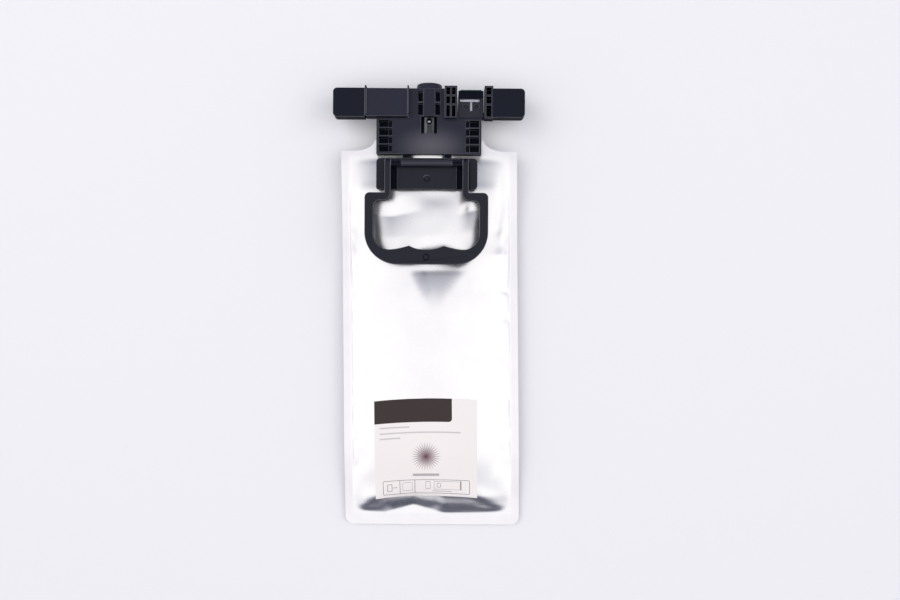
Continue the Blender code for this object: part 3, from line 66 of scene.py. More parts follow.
# %% Camera
CAMERA_HEIGHT = 520 * MM
PICTURE_WIDTH = 509.4 * MM
CAMERA_PLACE = (12.1 * MM, 3.55 * MM, CAMERA_HEIGHT)
CAMERA_ROLL = math.radians(0.35)

bpy.ops.object.camera_add(location=CAMERA_PLACE, rotation=(0, 0, CAMERA_ROLL))
camera = bpy.context.active_object
camera.name = "camera"
camera.data.sensor_width = 36
camera.data.lens = 36 * CAMERA_HEIGHT / PICTURE_WIDTH
camera.data.clip_start = 0.01
bpy.context.scene.camera = camera
print("lens in mm:", round(camera.data.lens, 2))

# %% [markdown]
# ## Helpers for colours and nodes
#
# Colours are easiest to read as the hex values of a paint program. Blender's shaders count in linear light, so
# one function turns the first into the second. A second small function adds a shader node, sets it up and joins
# it to the nodes before it. All materials below are made with these two and with small functions for the steps
# that they share.


# %% Colour and node helpers
def linear(hex_colour):
    """Turns a hex colour such as F1F0F5 into linear red, green, blue and alpha."""
    values = []
    for start in (0, 2, 4):
        channel = int(hex_colour[start:start + 2], 16) / 255
        if channel <= 0.04045:
            values.append(channel / 12.92)
        else:
            values.append(((channel + 0.055) / 1.055) ** 2.4)
    return (*values, 1.0)


def add(tree, kind, settings=None, links=None, values=None):
    """Adds a node: settings are its own properties, links go into its sockets and values are set on them."""
    node = tree.nodes.new(kind)
    for name, value in (settings or {}).items():
        setattr(node, name, value)
    for socket, value in (values or {}).items():
        node.inputs[socket].default_value = value
    for socket, source in (links or {}).items():
        tree.links.new(source, node.inputs[socket])
    return node


def new_material(name, values):
    """Makes a material with one Principled shader, whose plain values are set on its own sockets."""
    material = bpy.data.materials.new(name)
    material.use_nodes = True
    tree = material.node_tree
    shader = tree.nodes["Principled BSDF"]
    for socket, value in values.items():
        shader.inputs[socket].default_value = value
    return material, tree, shader


def blend_colours(tree, factor, first, second):
    """Mixes two colours, each a hex value or a socket, by a factor socket."""
    node = add(tree, "ShaderNodeMix", {"data_type": "RGBA"}, {0: factor})
    for socket, colour in ((6, first), (7, second)):
        if isinstance(colour, str):
            node.inputs[socket].default_value = linear(colour)
        else:
            tree.links.new(colour, node.inputs[socket])
    return node.outputs[2]


def sums(tree, operation, *terms, clamp=False):
    """Does one step of arithmetic on sockets and numbers."""
    node = add(tree, "ShaderNodeMath", {"operation": operation, "use_clamp": clamp})
    for i, term in enumerate(terms):
        if isinstance(term, (int, float)):
            node.inputs[i].default_value = term
        else:
            tree.links.new(term, node.inputs[i])
    return node.outputs[0]


# %% Textures
def object_place(tree):
    """Gives the place on the object itself."""
    return add(tree, "ShaderNodeTexCoord").outputs["Object"]


def noise(tree, place, size, detail, roughness=0.5):
    """Gives soft noise with lumps of about a size."""
    values = {"Scale": 1 / size, "Detail": detail, "Roughness": roughness}
    return add(tree, "ShaderNodeTexNoise", links={"Vector": place}, values=values).outputs[0]


def bump(tree, height, strength, distance, normal=None):
    """Bends the normal by a height, on top of an earlier normal if there is one."""
    links = {"Height": height}
    if normal is not None:
        links["Normal"] = normal
    values = {"Strength": strength, "Distance": distance}
    return add(tree, "ShaderNodeBump", links=links, values=values).outputs[0]


def eased(tree, value, start, end, before=0.0, after=1.0):
    """Eases from before to after while a value goes from start to end."""
    values = {"From Min": start, "From Max": end, "To Min": before, "To Max": after}
    settings = {"interpolation_type": "SMOOTHSTEP"}
    return add(tree, "ShaderNodeMapRange", settings, {"Value": value}, values).outputs[0]


def mottled(name, values, size, detail, first, second):
    """Makes a material that wanders between two colours, in patches of about a size."""
    material, tree, shader = new_material(name, values)
    patches = noise(tree, object_place(tree), size, detail)
    tree.links.new(blend_colours(tree, patches, first, second), shader.inputs["Base Color"])
    return material


# %% [markdown]
# ## Helpers for pieces
#
# An operator works on whatever is selected, and the loaded model is still selected. So each piece starts by
# letting go of everything. A finished piece keeps its place in its mesh, gets its material and rides on one body
# of the model. Small pieces that belong together are joined into one.


# %% Piece helpers
def let_go():
    """Leaves edit mode and deselects everything."""
    if bpy.context.object and bpy.context.object.mode != "OBJECT":
        bpy.ops.object.mode_set(mode="OBJECT")
    for item in bpy.context.selected_objects:
        item.select_set(False)


def take(piece):
    """Makes one piece the only selected object."""
    let_go()
    piece.select_set(True)
    bpy.context.view_layer.objects.active = piece


def fix_place(piece):
    """Moves a piece's place, turn and size into its mesh."""
    take(piece)
    bpy.ops.object.transform_apply(location=True, rotation=True, scale=True)


def settle(piece, body, material, smooth=35, flat_faces=False):
    """Finishes a piece: place into its mesh, shading, material and body."""
    fix_place(piece)
    bpy.ops.object.shade_smooth_by_angle(angle=math.radians(smooth))
    if flat_faces:
        weights = piece.modifiers.new("flat_faces", "WEIGHTED_NORMAL")
        weights.keep_sharp = True
        bpy.ops.object.modifier_apply(modifier="flat_faces")
    piece.data.materials.clear()
    piece.data.materials.append(material)
    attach(piece, body)
    print("made", piece.name, "with", len(piece.data.polygons), "faces")


def apply_modifier(piece, name):
    """Applies one modifier of a piece."""
    take(piece)
    bpy.ops.object.modifier_apply(modifier=name)


def new_piece(name, mesh):
    """Puts a mesh into the scene."""
    piece = bpy.data.objects.new(name, mesh)
    bpy.context.scene.collection.objects.link(piece)
    return piece


def block(location, size, rim):
    """Makes a small box with rounded edges."""
    let_go()
    bpy.ops.mesh.primitive_cube_add(size=1, location=location)
    piece = bpy.context.active_object
    piece.scale = size
    fix_place(piece)
    edges = piece.modifiers.new("rim", "BEVEL")
    edges.width = rim
    edges.segments = 2
    apply_modifier(piece, "rim")
    return piece


def joined(blocks, name):
    """Joins pieces into one."""
    let_go()
    for piece in blocks:
        piece.select_set(True)
    bpy.context.view_layer.objects.active = blocks[0]
    bpy.ops.object.join()
    piece = bpy.context.active_object
    piece.name = name
    return piece


def dress(node, material):
    """Gives a solid of the model a material."""
    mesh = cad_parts[node].data
    mesh.materials.clear()
    mesh.materials.append(material)
    print("dressed", node, "in", material.name)


# %% [markdown]
# ## Black plastic of the head and handle
#
# Both mouldings are black ABS. A mould for such parts is spark-eroded, which leaves a fine grain on the plastic:
# it scatters the light into a broad grey sheen with no sharp reflection. The black has a little blue in it.
# The grain of about 0.1 mm is too fine for the picture, so it is drawn at 0.35 mm and kept shallow. A slow change
# of roughness, some centimetres long, stands for the places that hands have polished.
#
# The neck is paler in the middle, as a painted sheen, and so is the hinge's barrel. The wings are smoother, and
# darker as painted shade; the walls and pockets are coarse, and darkest as painted shade; and the edges are the
# palest, as a painted highlight.


# %% Moulded black ABS
def moulded_abs(name, colour, second_colour, roughness, specular, haze=None):
    """Makes black ABS. haze is the middle and the reach of a paler patch, a painted sheen."""
    material, tree, shader = new_material(name, {"IOR": 1.53, "Specular IOR Level": specular})
    place = object_place(tree)
    grain = noise(tree, place, 0.35 * MM, 3.0, 0.6)
    patches = noise(tree, place, 26 * MM, 3.0, 0.55)
    flow = noise(tree, place, 7 * MM, 2.0)
    tone = sums(tree, "MULTIPLY_ADD", patches, 1.4, -0.2, clamp=True)
    base = blend_colours(tree, tone, colour, second_colour)
    if haze:
        middle, reach = haze
        shift = add(tree, "ShaderNodeVectorMath", {"operation": "SUBTRACT"}, {0: place}, {1: middle})
        squeeze = add(tree, "ShaderNodeVectorMath", {"operation": "DIVIDE"}, {0: shift.outputs[0]}, {1: reach})
        away = add(tree, "ShaderNodeVectorMath", {"operation": "LENGTH"}, {0: squeeze.outputs[0]})
        near = eased(tree, away.outputs["Value"], 0.0, 1.0, 1.0, 0.0)
        # Paler towards the patch's middle: a painted sheen
        base = blend_colours(tree, near, base, "514F57")
    tree.links.new(base, shader.inputs["Base Color"])
    wander_values = {"From Min": 0.3, "From Max": 0.7, "To Min": roughness - 0.05, "To Max": roughness + 0.06}
    wander = add(tree, "ShaderNodeMapRange", links={"Value": patches}, values=wander_values)
    tree.links.new(wander.outputs[0], shader.inputs["Roughness"])
    slow = bump(tree, flow, 0.25, 0.04 * MM)
    tree.links.new(bump(tree, grain, 0.5, 0.02 * MM, slow), shader.inputs["Normal"])
    return material


# The middle and the reach of the painted sheen on the neck
NECK_SHEEN = ((1.5 * MM, 88 * MM, 16 * MM), (23 * MM, 13 * MM, 10 * MM))
head_abs = moulded_abs("ABS_black_fine_eroded", "191B29", "1E2031", 0.38, 0.24, haze=NECK_SHEEN)
# Wings: smoother plastic, with a darker colour as painted shade
wing_shade_abs = moulded_abs("ABS_black_smooth_painted_shade", "11151F", "141925", 0.3, 0.1)
# Walls, pocket floors and the insert's front ledge: coarse plastic, darkest as painted shade
wall_shade_abs = moulded_abs("ABS_black_coarse_painted_shade", "0B0D18", "0E101C", 0.6, 0.05)
handle_abs = moulded_abs("ABS_black_satin", "151721", "191B26", 0.42, 0.22)
insert_abs = moulded_abs("ABS_dark_grey_insert", "1F2129", "24262F", 0.38, 0.22)
# The hinge's barrel: paler as a painted sheen
barrel_sheen_abs = moulded_abs("ABS_black_painted_sheen", "2C2D36", "35363F", 0.34, 0.3)
# Edges: paler as a painted highlight
edge_highlight_abs = moulded_abs("ABS_black_painted_edge_highlight", "56575F", "64656C", 0.3, 0.5)
print("plastics:", ", ".join(m.name for m in bpy.data.materials if m.name.startswith("ABS")))

# %% [markdown]
# ## Mouldings with softened edges
#
# No moulded edge is sharp, and the thin light line along each edge is what makes plastic look real. The solids
# of the model have sharp edges to keep them light. Each moulding could be modelled again, but its shape is right,
# so a copy is taken instead: its loose triangles are merged, and a bevel of two steps rounds each edge that turns
# by more than 28 degrees. Afterwards the large faces set the shading, so that they look flat up to their rims.
#
# The faces of a copy then get their finishes: coarse, and darker as painted shade, on upright walls and in
# pockets;
# painted shade on the wings and the insert's front ledge and a painted sheen on the hinge's barrel; and a paler
# colour as a painted highlight on the narrow strips of the bevels, except around the small ring marks of the
# ejector pins.


# %% Softened copies of the mouldings
def softened(node, name, width, segments=2, angle=28):
    """Copies a solid of the model and rounds its edges."""
    copy = new_piece(name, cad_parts[node].data.copy())
    take(copy)
    bpy.ops.object.mode_set(mode="EDIT")
    bpy.ops.mesh.select_all(action="SELECT")
    bpy.ops.mesh.remove_doubles(threshold=0.002 * MM)
    bpy.ops.mesh.normals_make_consistent(inside=False)
    bpy.ops.object.mode_set(mode="OBJECT")
    edges = copy.modifiers.new("edges", "BEVEL")
    edges.width = width
    edges.segments = segments
    edges.limit_method = "ANGLE"
    edges.angle_limit = math.radians(angle)
    edges.use_clamp_overlap = False
    apply_modifier(copy, "edges")
    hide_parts(node)
    return copy


# %% Finishes of the faces
# Where the painted shade on the wings, pocket floors and insert's front ledge, and the painted sheen on the
# hinge's barrel, start or end
WING_EDGE = 35.1 * MM
DECK_POCKETS = 15.0 * MM
PLATE_POCKETS = 17.25 * MM
HANDLE_POCKETS = 22.7 * MM
BARREL_LEVEL = 18.9 * MM
WINDOW_FRONT = 113.5 * MM
NO_POCKETS = -1.0

# How far a face looks up, from 0 to 1: less is a wall, more is level, and bevels lie between two values
WALL, LEVEL = 0.35, 0.95
BEVEL_LOW, BEVEL_HIGH = 0.3, 0.96

# The widest strip that gets a painted edge highlight, and the ring marks with the reach around them
HIGHLIGHT_STRIP = 0.16 * MM
RING_REACH = 2.6 * MM
RING_MARKS = (Vector((-0.7 * MM, 68.8 * MM)), Vector((-0.7 * MM, 27.0 * MM)))


def shade_walls_and_pockets(piece, pocket_level=NO_POCKETS):
    """Gives upright walls and the flat floors of pockets, below a level, the coarse finish, darker as painted
    shade.
    """
    piece.data.materials.append(wall_shade_abs)
    for face in piece.data.polygons:
        pocket_floor = face.normal.z > LEVEL and face.center.z < pocket_level
        if abs(face.normal.z) < WALL or pocket_floor:
            face.material_index = 1


def paint_light_and_shade(piece, material, where):
    """Gives the upper faces that lie in a chosen place another material, darker as painted shade or paler as a
    painted sheen.
    """
    piece.data.materials.append(material)
    last = len(piece.data.materials) - 1
    for face in piece.data.polygons:
        if face.material_index == 0 and where(face.center):
            face.material_index = last


def paint_edge_highlights(piece):
    """Gives the narrow upper strips of the bevels a paler colour, a painted highlight."""
    piece.data.materials.append(edge_highlight_abs)
    last = len(piece.data.materials) - 1
    corners = piece.data.vertices
    for face in piece.data.polygons:
        sides = [(corners[a].co - corners[b].co).length for a, b in face.edge_keys]
        narrow = face.area / max(sides) < HIGHLIGHT_STRIP
        marked = min((face.center.xy - mark).length for mark in RING_MARKS) < RING_REACH
        if BEVEL_LOW < face.normal.z < BEVEL_HIGH and narrow and not marked:
            face.material_index = last


# %% The mouldings
HEAD_PARTS = (
    ("header_body", "head_moulding", 0.15 * MM, head_abs),
    ("header_cover", "cover_moulding", 0.15 * MM, head_abs),
    ("chip_holder", "bay_insert", 0.1 * MM, insert_abs),
    ("handle_base", "hinge_plate", 0.15 * MM, handle_abs),
    ("seal_cap", "outlet_ring", 0.08 * MM, head_abs),
)
pieces = {}
for node, name, width, material in HEAD_PARTS:
    piece = softened(node, name, width)
    settle(piece, "pack", material, flat_faces=True)
    pieces[name] = piece
shade_walls_and_pockets(pieces["head_moulding"], DECK_POCKETS)
# The wings get painted shade
paint_light_and_shade(pieces["head_moulding"], wing_shade_abs, lambda place: abs(place.x) > WING_EDGE)
shade_walls_and_pockets(pieces["cover_moulding"])
shade_walls_and_pockets(pieces["bay_insert"])
# The insert's front ledge gets painted shade
paint_light_and_shade(pieces["bay_insert"], wall_shade_abs, lambda place: place.y > WINDOW_FRONT)
shade_walls_and_pockets(pieces["hinge_plate"], PLATE_POCKETS)
# The hinge's barrel gets a painted sheen
paint_light_and_shade(pieces["hinge_plate"], barrel_sheen_abs, lambda place: place.z > BARREL_LEVEL)
grip = softened("handle", "carrying_handle", 0.15 * MM)
settle(grip, "handle", handle_abs, flat_faces=True)
shade_walls_and_pockets(grip, HANDLE_POCKETS)
for piece in (*pieces.values(), grip):
    paint_edge_highlights(piece)

# %% [markdown]
# ## The spout and what is in it
#
# The spout is moulded from natural polypropylene, which is milky and lets some light through. Through the window
# in the head you see its tongue, dark with ink in the middle, and a steel ball pressed into the filling hole. The
# tongue's paler sides are a painted highlight along its rounded edges. The valve behind the rubber seal is of the
# same plastic. These solids are round and fine enough as they are, so they only get materials.

# %% Small parts' materials
TONGUE_MIDDLE = 0.4 * MM
spout_plastic, tree, shader = new_material(
    "polypropylene_natural",
    {"Roughness": 0.22, "IOR": 1.49, "Transmission Weight": 0.25, "Subsurface Weight": 0.15},
)
place = object_place(tree)
haze = noise(tree, place, 2.5 * MM, 2.0)
axes = add(tree, "ShaderNodeSeparateXYZ", links={0: place})
off_middle = sums(tree, "ABSOLUTE", sums(tree, "SUBTRACT", axes.outputs[0], TONGUE_MIDDLE))
# The milky colour is the plastic's own; paler only at the tongue's sides, it is a painted highlight along its
# rounded edges
sides_painted_highlight = eased(tree, off_middle, 1.3 * MM, 2.0 * MM)
milky = blend_colours(tree, haze, "5B5D63", "74767C")
inked = blend_colours(tree, haze, "26282D", "34363B")
tree.links.new(blend_colours(tree, sides_painted_highlight, inked, milky), shader.inputs["Base Color"])
tree.links.new(bump(tree, haze, 0.3, 0.05 * MM), shader.inputs["Normal"])

ball_steel = mottled("steel_polished", {"Metallic": 1.0, "Roughness": 0.12}, 0.8 * MM, 4.0, "94969B", "B0B2B7")
drawn_steel = {"Metallic": 1.0, "Roughness": 0.28}
spring_steel = mottled("spring_steel_drawn", drawn_steel, 0.3 * MM, 3.0, "9A9CA1", "BFC1C5")
seal_rubber = mottled("EPDM_moulded", {"Roughness": 0.62, "IOR": 1.5}, 1.2 * MM, 4.0, "1A1A1B", "242425")

dress("spout", spout_plastic)
dress("valve_poppet", spout_plastic)
dress("fill_ball", ball_steel)
dress("port_seal", seal_rubber)

# %% [markdown]
# ### The valve's spring
#
# The printer's needle pushes the valve in, and the spring behind it is pressed together. Its back end stands
# on the end of the chamber. A copy of the solid, with a mesh of its own, takes the place of the spring.

# %% Valve spring
coil = new_piece("coil_spring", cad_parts["valve_spring"].data.copy())
settle(coil, "pack", spring_steel)
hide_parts("valve_spring")
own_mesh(coil)

# %% [markdown]
# ## The strip in the bay's window
#
# The insert in the bay has a T-shaped window, and something pale shows in it: the floor under the head, seen
# through the window. A pale strip of plastic stands in for that view as painted light. Two thin blocks are joined
# into one T, which lies a little below the window's rim.

# %% Window strip
# Middle and size of the T's bar and stem, and their rounding
WINDOW_BAR = ((22.25 * MM, 112.75 * MM, 16.9 * MM), (10.6 * MM, 1.3 * MM, 0.5 * MM))
WINDOW_STEM = ((23.05 * MM, 109.5 * MM, 16.6 * MM), (1.1 * MM, 4.8 * MM, 0.5 * MM))
STRIP_RIM = 0.1 * MM

satin = {"Roughness": 0.4, "IOR": 1.49, "Subsurface Weight": 0.1}
# A pale strip as painted light, in place of the floor seen through the window
window_painted_light = mottled("pale_plastic_painted_light", satin, 1.8 * MM, 2.0, "B4B3B9", "C6C5CB")
bars = [block(location, size, STRIP_RIM) for location, size in (WINDOW_BAR, WINDOW_STEM)]
settle(joined(bars, "window_strip"), "pack", window_painted_light)

# %% [markdown]
# ## The circuit board
#
# The printer reads the pack through a small board that leans on its seat in the bay. The board is glass-fibre
# laminate under a green lacquer, its nine contacts are gilded copper, and the memory chip on its back sits in
# black resin. The lacquer pools a little between the tracks, so its colour and height change softly. The gold
# contacts are separate thin pieces laid over the board's raised fields, so that they stay crisp.

# %% Circuit board
lacquer, tree, shader = new_material("solder_mask_green", {"Roughness": 0.3, "IOR": 1.5, "Coat Weight": 0.3})
pool = noise(tree, object_place(tree), 1.5 * MM, 3.0)
tree.links.new(blend_colours(tree, pool, "0E4A2B", "17603A"), shader.inputs["Base Color"])
tree.links.new(bump(tree, pool, 0.3, 0.03 * MM), shader.inputs["Normal"])

gold = mottled("gold_plated_copper", {"Metallic": 1.0, "Roughness": 0.25}, 0.4 * MM, 4.0, "D9B45C", "E9CB7E")
potting = mottled("epoxy_potting_black", {"Roughness": 0.45, "IOR": 1.52}, 1.0 * MM, 2.0, "141414", "1E1E1E")
dress("chip_board", lacquer)
dress("chip_resin", potting)

# %% Gold contacts
# The board's lean, its middle and its outward direction, then the pads and their two rows: count and place
BOARD_TILT = math.radians(-102.0)
BOARD_SEAT = Vector((22.85 * MM, 116.74 * MM, 12.5 * MM))
BOARD_OUT = Vector((0, math.cos(math.radians(12.0)), -math.sin(math.radians(12.0))))
PAD_LIFT = 1.3 * MM
PAD_SIZE = (1.14 * MM, 1.94 * MM, 0.06 * MM)
PAD_RIM = 0.02 * MM
PAD_PITCH = 1.85 * MM
PAD_ROWS = ((4, -1.225 * MM), (5, 1.225 * MM))


def make_contacts():
    """Lays two staggered rows of thin gold pads on the sloping board, as one piece."""
    pads = []
    for count, row_y in PAD_ROWS:
        for i in range(count):
            pads.append(block(((i - (count - 1) / 2) * PAD_PITCH, row_y, 0), PAD_SIZE, PAD_RIM))
    contacts = joined(pads, "gold_contacts")
    contacts.rotation_euler = (BOARD_TILT, 0, 0)
    contacts.location = BOARD_SEAT + BOARD_OUT * PAD_LIFT
    return contacts


settle(make_contacts(), "pack", gold)

# %% [markdown]
# ## The pouch: its plain form
#
# The pouch is two films of plastic-coated aluminium, welded along both sides and the bottom and filled with ink.
# Between the welds each film stands off like a pillow. The form could be inflated from two flat sheets, but the
# head and the label need it to end at known places. So the two films are laid out as grids with a height for
# every point, and the liquid's push is simulated afterwards, for the puckers alone.
#
# A curve drawn through a few heights along the pouch gives its back, and a rounded profile gives each section.
# The seam, where the two films meet, has such a curve of its own.

# %% Pouch sizes
POUCH_BOTTOM = -122.8 * MM
POUCH_TOP = 92.0 * MM
NECK_BACK = 83.5 * MM
HALF_WIDTH = 48.8 * MM
CORNER = 5.0 * MM
SIDE_WELD = 4.2 * MM
BOTTOM_WELD = 6.2 * MM
FILM = 0.5 * MM
SHOULDER_Y = 86.0 * MM
SHOULDER_RISE = 6.0 * MM
SHOULDER_REACH = 12.0 * MM
NECK_HALF = 30.4 * MM
MOUTH_HALF = 15.5 * MM
MOUTH_RISE = 3.5 * MM
WELD_LINE = POUCH_BOTTOM + BOTTOM_WELD
LEAN = math.tan(math.radians(0.8))

# Heights along the pouch as (y, z): of the seam at its sides, and of its back
SEAM_HEIGHTS = (
    (POUCH_BOTTOM, 2.0 * MM),
    (WELD_LINE, 2.2 * MM),
    (-74 * MM, 6.0 * MM),
    (39 * MM, 6.0 * MM),
    (82.5 * MM, 9.55 * MM),
    (POUCH_TOP, 9.55 * MM),
)
BACK_HEIGHTS = (
    (WELD_LINE, 2.3 * MM),
    (WELD_LINE + 2.5 * MM, 3.5 * MM),
    (WELD_LINE + 5.5 * MM, 5.3 * MM),
    (WELD_LINE + 11.7 * MM, 9.9 * MM),
    (WELD_LINE + 21.7 * MM, 13.6 * MM),
    (WELD_LINE + 38.6 * MM, 17.4 * MM),
    (-51.1 * MM, 19.1 * MM),
    (-1.6 * MM, 18.8 * MM),
    (22.5 * MM, 17.5 * MM),
    (36.0 * MM, 16.4 * MM),
    (50.3 * MM, 15.6 * MM),
    (63.7 * MM, 14.5 * MM),
    (69.7 * MM, 13.1 * MM),
    (77.9 * MM, 11.1 * MM),
    (84.5 * MM, 9.55 * MM),
)


# %% Pouch form
def curve_through(stations, y):
    """Reads a smooth curve through (y, height) stations at every y of an array."""
    ys, heights = np.array(stations).T
    steps = np.diff(heights) / np.diff(ys)
    slopes = np.zeros(len(ys))
    slopes[0] = steps[0]
    for i in range(1, len(ys) - 1):
        if steps[i - 1] * steps[i] > 0:
            slopes[i] = 2 * steps[i - 1] * steps[i] / (steps[i - 1] + steps[i])
    y = np.clip(y, ys[0], ys[-1])
    i = np.clip(np.searchsorted(ys, y, side="right") - 1, 0, len(ys) - 2)
    span = ys[i + 1] - ys[i]
    t = (y - ys[i]) / span
    rise = heights[i] + (heights[i + 1] - heights[i]) * t * t * (3 - 2 * t)
    return rise + span * t * (1 - t) * (slopes[i] * (1 - t) - slopes[i + 1] * t)


def ease(t):
    """Eases from 0 to 1, flat at both ends."""
    t = np.clip(t, 0, 1)
    return t * t * (3 - 2 * t)


def rising(y, place, length):
    """Eases from 0 at a place to 1 a length beyond it."""
    return ease((y - place) / length)


def falling(y, place, length):
    """Eases from 1 to 0 at a place, over the length before it."""
    return ease((place - y) / length)


def half_width(y):
    """Gives half the pouch's width at y, welds included."""
    y = np.asarray(y, float)
    inset = np.clip(CORNER - (y - POUCH_BOTTOM), 0, CORNER)
    width = HALF_WIDTH - CORNER + np.sqrt(np.maximum(CORNER**2 - inset**2, 0))
    up = np.clip((y - SHOULDER_Y) / SHOULDER_RISE, 0, 1)
    neck = NECK_HALF + SHOULDER_REACH * (1 - np.sqrt(1 - (1 - up) ** 2))
    return np.where(y > SHOULDER_Y, neck, width)


def soft_max(a, b, width):
    """Takes the larger of two heights, with the corner between them rounded."""
    return (a + b + np.sqrt((a - b) ** 2 + width**2)) / 2


# %% [markdown]
# ## The pouch: folds that the picture shows
#
# A filled pouch is never an even pillow. Where the bottom weld meets the body, the film gathers in two tucks
# with a flat spot between them, and rises early in two shoulders outside them. Below the handle there is a
# three-cornered hollow that points down the pouch. Inside the handle's opening two valleys cross the film. Further
# down lie a long shallow trough and two short slanting creases, and beside the handle the body is pinched along
# both welds. Each is a bell, a wedge or a crease that changes the height of the upper film.
#
# All places and reaches in this cell are in millimetres, because they were read off the picture.


# %% Folds of the upper film
def bell(x, y, middle, reach, turn=0.0):
    """A rounded bump of height 1 at middle, as long and wide as reach, turned by an angle in degrees."""
    angle = math.radians(turn)
    dx = x - middle[0] * MM
    dy = y - middle[1] * MM
    along = (dx * math.cos(angle) + dy * math.sin(angle)) / (reach[0] * MM)
    across = (-dx * math.sin(angle) + dy * math.cos(angle)) / (reach[1] * MM)
    return np.exp(-(along**2) - across**2)


# The hollow's crisp and soft sides as parts of its width, how its floor falls, and how its upper rim slants
CRISP_SIDE, SOFT_SIDE = 0.24, 0.6
HOLLOW_POWER = 1.9
RIM_SLANT = 0.12
# How sharp a crease's bottom is: 1 is a plain V
CREASE_POWER = 1.3


def wedge(x, y, tip, left, right, fade):
    """A three-cornered hollow: a point at tip, deepest between left and right, with a crisp left side."""
    t = np.clip((y / MM - tip[1]) / (left[1] - tip[1]), 0, 1)
    start = tip[0] + (left[0] - tip[0]) * t
    end = tip[0] + (right[0] - tip[0]) * t
    across = np.clip((x / MM - start) / np.maximum(end - start, 0.5), 0, 1)
    section = np.clip(across / CRISP_SIDE, 0, 1) * ease((1 - across) / SOFT_SIDE)
    return section * t**HOLLOW_POWER * (1 - ease((y / MM - left[1] - RIM_SLANT * x / MM) / fade))


def crease(x, y, line, near, far):
    """A crisp valley along a line of (x, y, depth) points, near and far wide below and above it."""
    xs, ys, depths = zip(*line)
    away = y / MM - np.interp(x / MM, xs, ys)
    away = np.where(away > 0, away / far, -away / near)
    return np.interp(x / MM, xs, depths) * np.clip(1 - away, 0, 1) ** CREASE_POWER


# %% The folds and where they are
TRIANGLE = {"tip": (1.0, -8), "left": (-10.8, 19.5), "right": (22, 19.5), "fade": 20}
TRIANGLE_DEPTH = 2.8
# Valleys in the handle's opening: points (x, y, depth), and how far they reach below and above
CREASES = (
    (((-36, 48, 0.0), (-30, 51, 0.7), (-21, 50, 1.5), (-3, 53, 0.0)), 13, 10),
    (((15, 50, 0.0), (22, 53, 1.5), (30, 54, 0.6), (35, 52, 0.0)), 12, 9),
)
# Rounded dents: depth, middle, reach and turn in degrees
CORNER_DENT = (0.5, (15, 25), (7, 5.5), 0)
TROUGH = (0.5, (0, -30), (3.5, 26), 0)
SHORT_CREASES = ((0.45, (-24, -23), (9, 1.8), 62), (0.35, (29, -29), (9, 1.6), -24))
PINCHES = ((2.3, (-41, 46), (2.6, 17), 2), (1.9, (39, 50), (2.8, 14), -4))
PLATE_DENT = (0.4, (4, 60), (10, 5), 0)
# In line above the bottom weld: tucks as dents, shoulders as rises (a dent of negative depth)
GATHER = WELD_LINE / MM + 8
TUCKS = ((0.8, (-25.5, GATHER), (2.8, 6), 0), (1.0, (2.5, GATHER), (3.4, 6), 0))
SHOULDERS = ((-1.5, (-33, GATHER), (11, 5.5), 28), (-1.5, (29, GATHER), (11, 5.5), -28))
# The flat spot in the bottom weld: middle, half its width, and how far it reaches up
FLAT_SPOT = (-10.2, 16.3, 4.4)


def folds(x, y):
    """Adds up the folds, in metres."""
    total = -TRIANGLE_DEPTH * MM * wedge(x, y, **TRIANGLE)
    depth, *place = CORNER_DENT
    total -= depth * MM * bell(x, y, *place)
    for line, near, far in CREASES:
        total -= MM * crease(x, y, line, near, far)
    for depth, *place in (TROUGH, *SHORT_CREASES, *PINCHES, PLATE_DENT, *TUCKS, *SHOULDERS):
        total -= depth * MM * bell(x, y, *place)
    return total


def weld_start(x):
    """Gives the y where the upper film leaves the bottom weld: a flat spot reaches up between the two tucks."""
    middle, half, rise = FLAT_SPOT
    tent = np.clip(1 - np.abs(x / MM - middle) / half, 0, 1)
    return WELD_LINE + rise * MM * tent


# %% [markdown]
# ## The pouch: its mesh
#
# Each film is one grid of about a millimetre, and a narrow band joins the two around their edges, so the pouch is
# closed and watertight. The weld has its own narrow columns, and each point remembers how much it belongs to the
# weld: the foil's material reads that later. Under the handle the section is fuller, because the plate on the back
# keeps the film flat there, and towards the neck a small rise goes round the spout.


# %% Film heights
# The lower end bends around the flat spot over this length
BEND = 45 * MM
# How round a section is, how much fuller under the handle, and how much wider underneath
SECTION_POWER = 0.82
FULLER = 0.26
WIDER_BELOW = 1.2
# Each change along the pouch: its place, and the length it takes
FULLER_FROM, FULLER_TO = (8 * MM, 22 * MM), (90 * MM, 38 * MM)
MOUTH_FROM = (64 * MM, 18 * MM)
FOLDS_FROM, FOLDS_TO = (WELD_LINE, 6 * MM), (80 * MM, 8 * MM)
HANG_FROM, HANG_TO = (WELD_LINE, 2 * SIDE_WELD), (NECK_BACK, 17 * MM)
# Folds fade out over this length beside the side welds
FOLD_MARGIN = 8 * MM
# The lowest height of the underside, and the rounding where body and weld meet
TABLE_GAP = 0.02 * MM
CORNER_SOFTNESS = 0.12 * MM


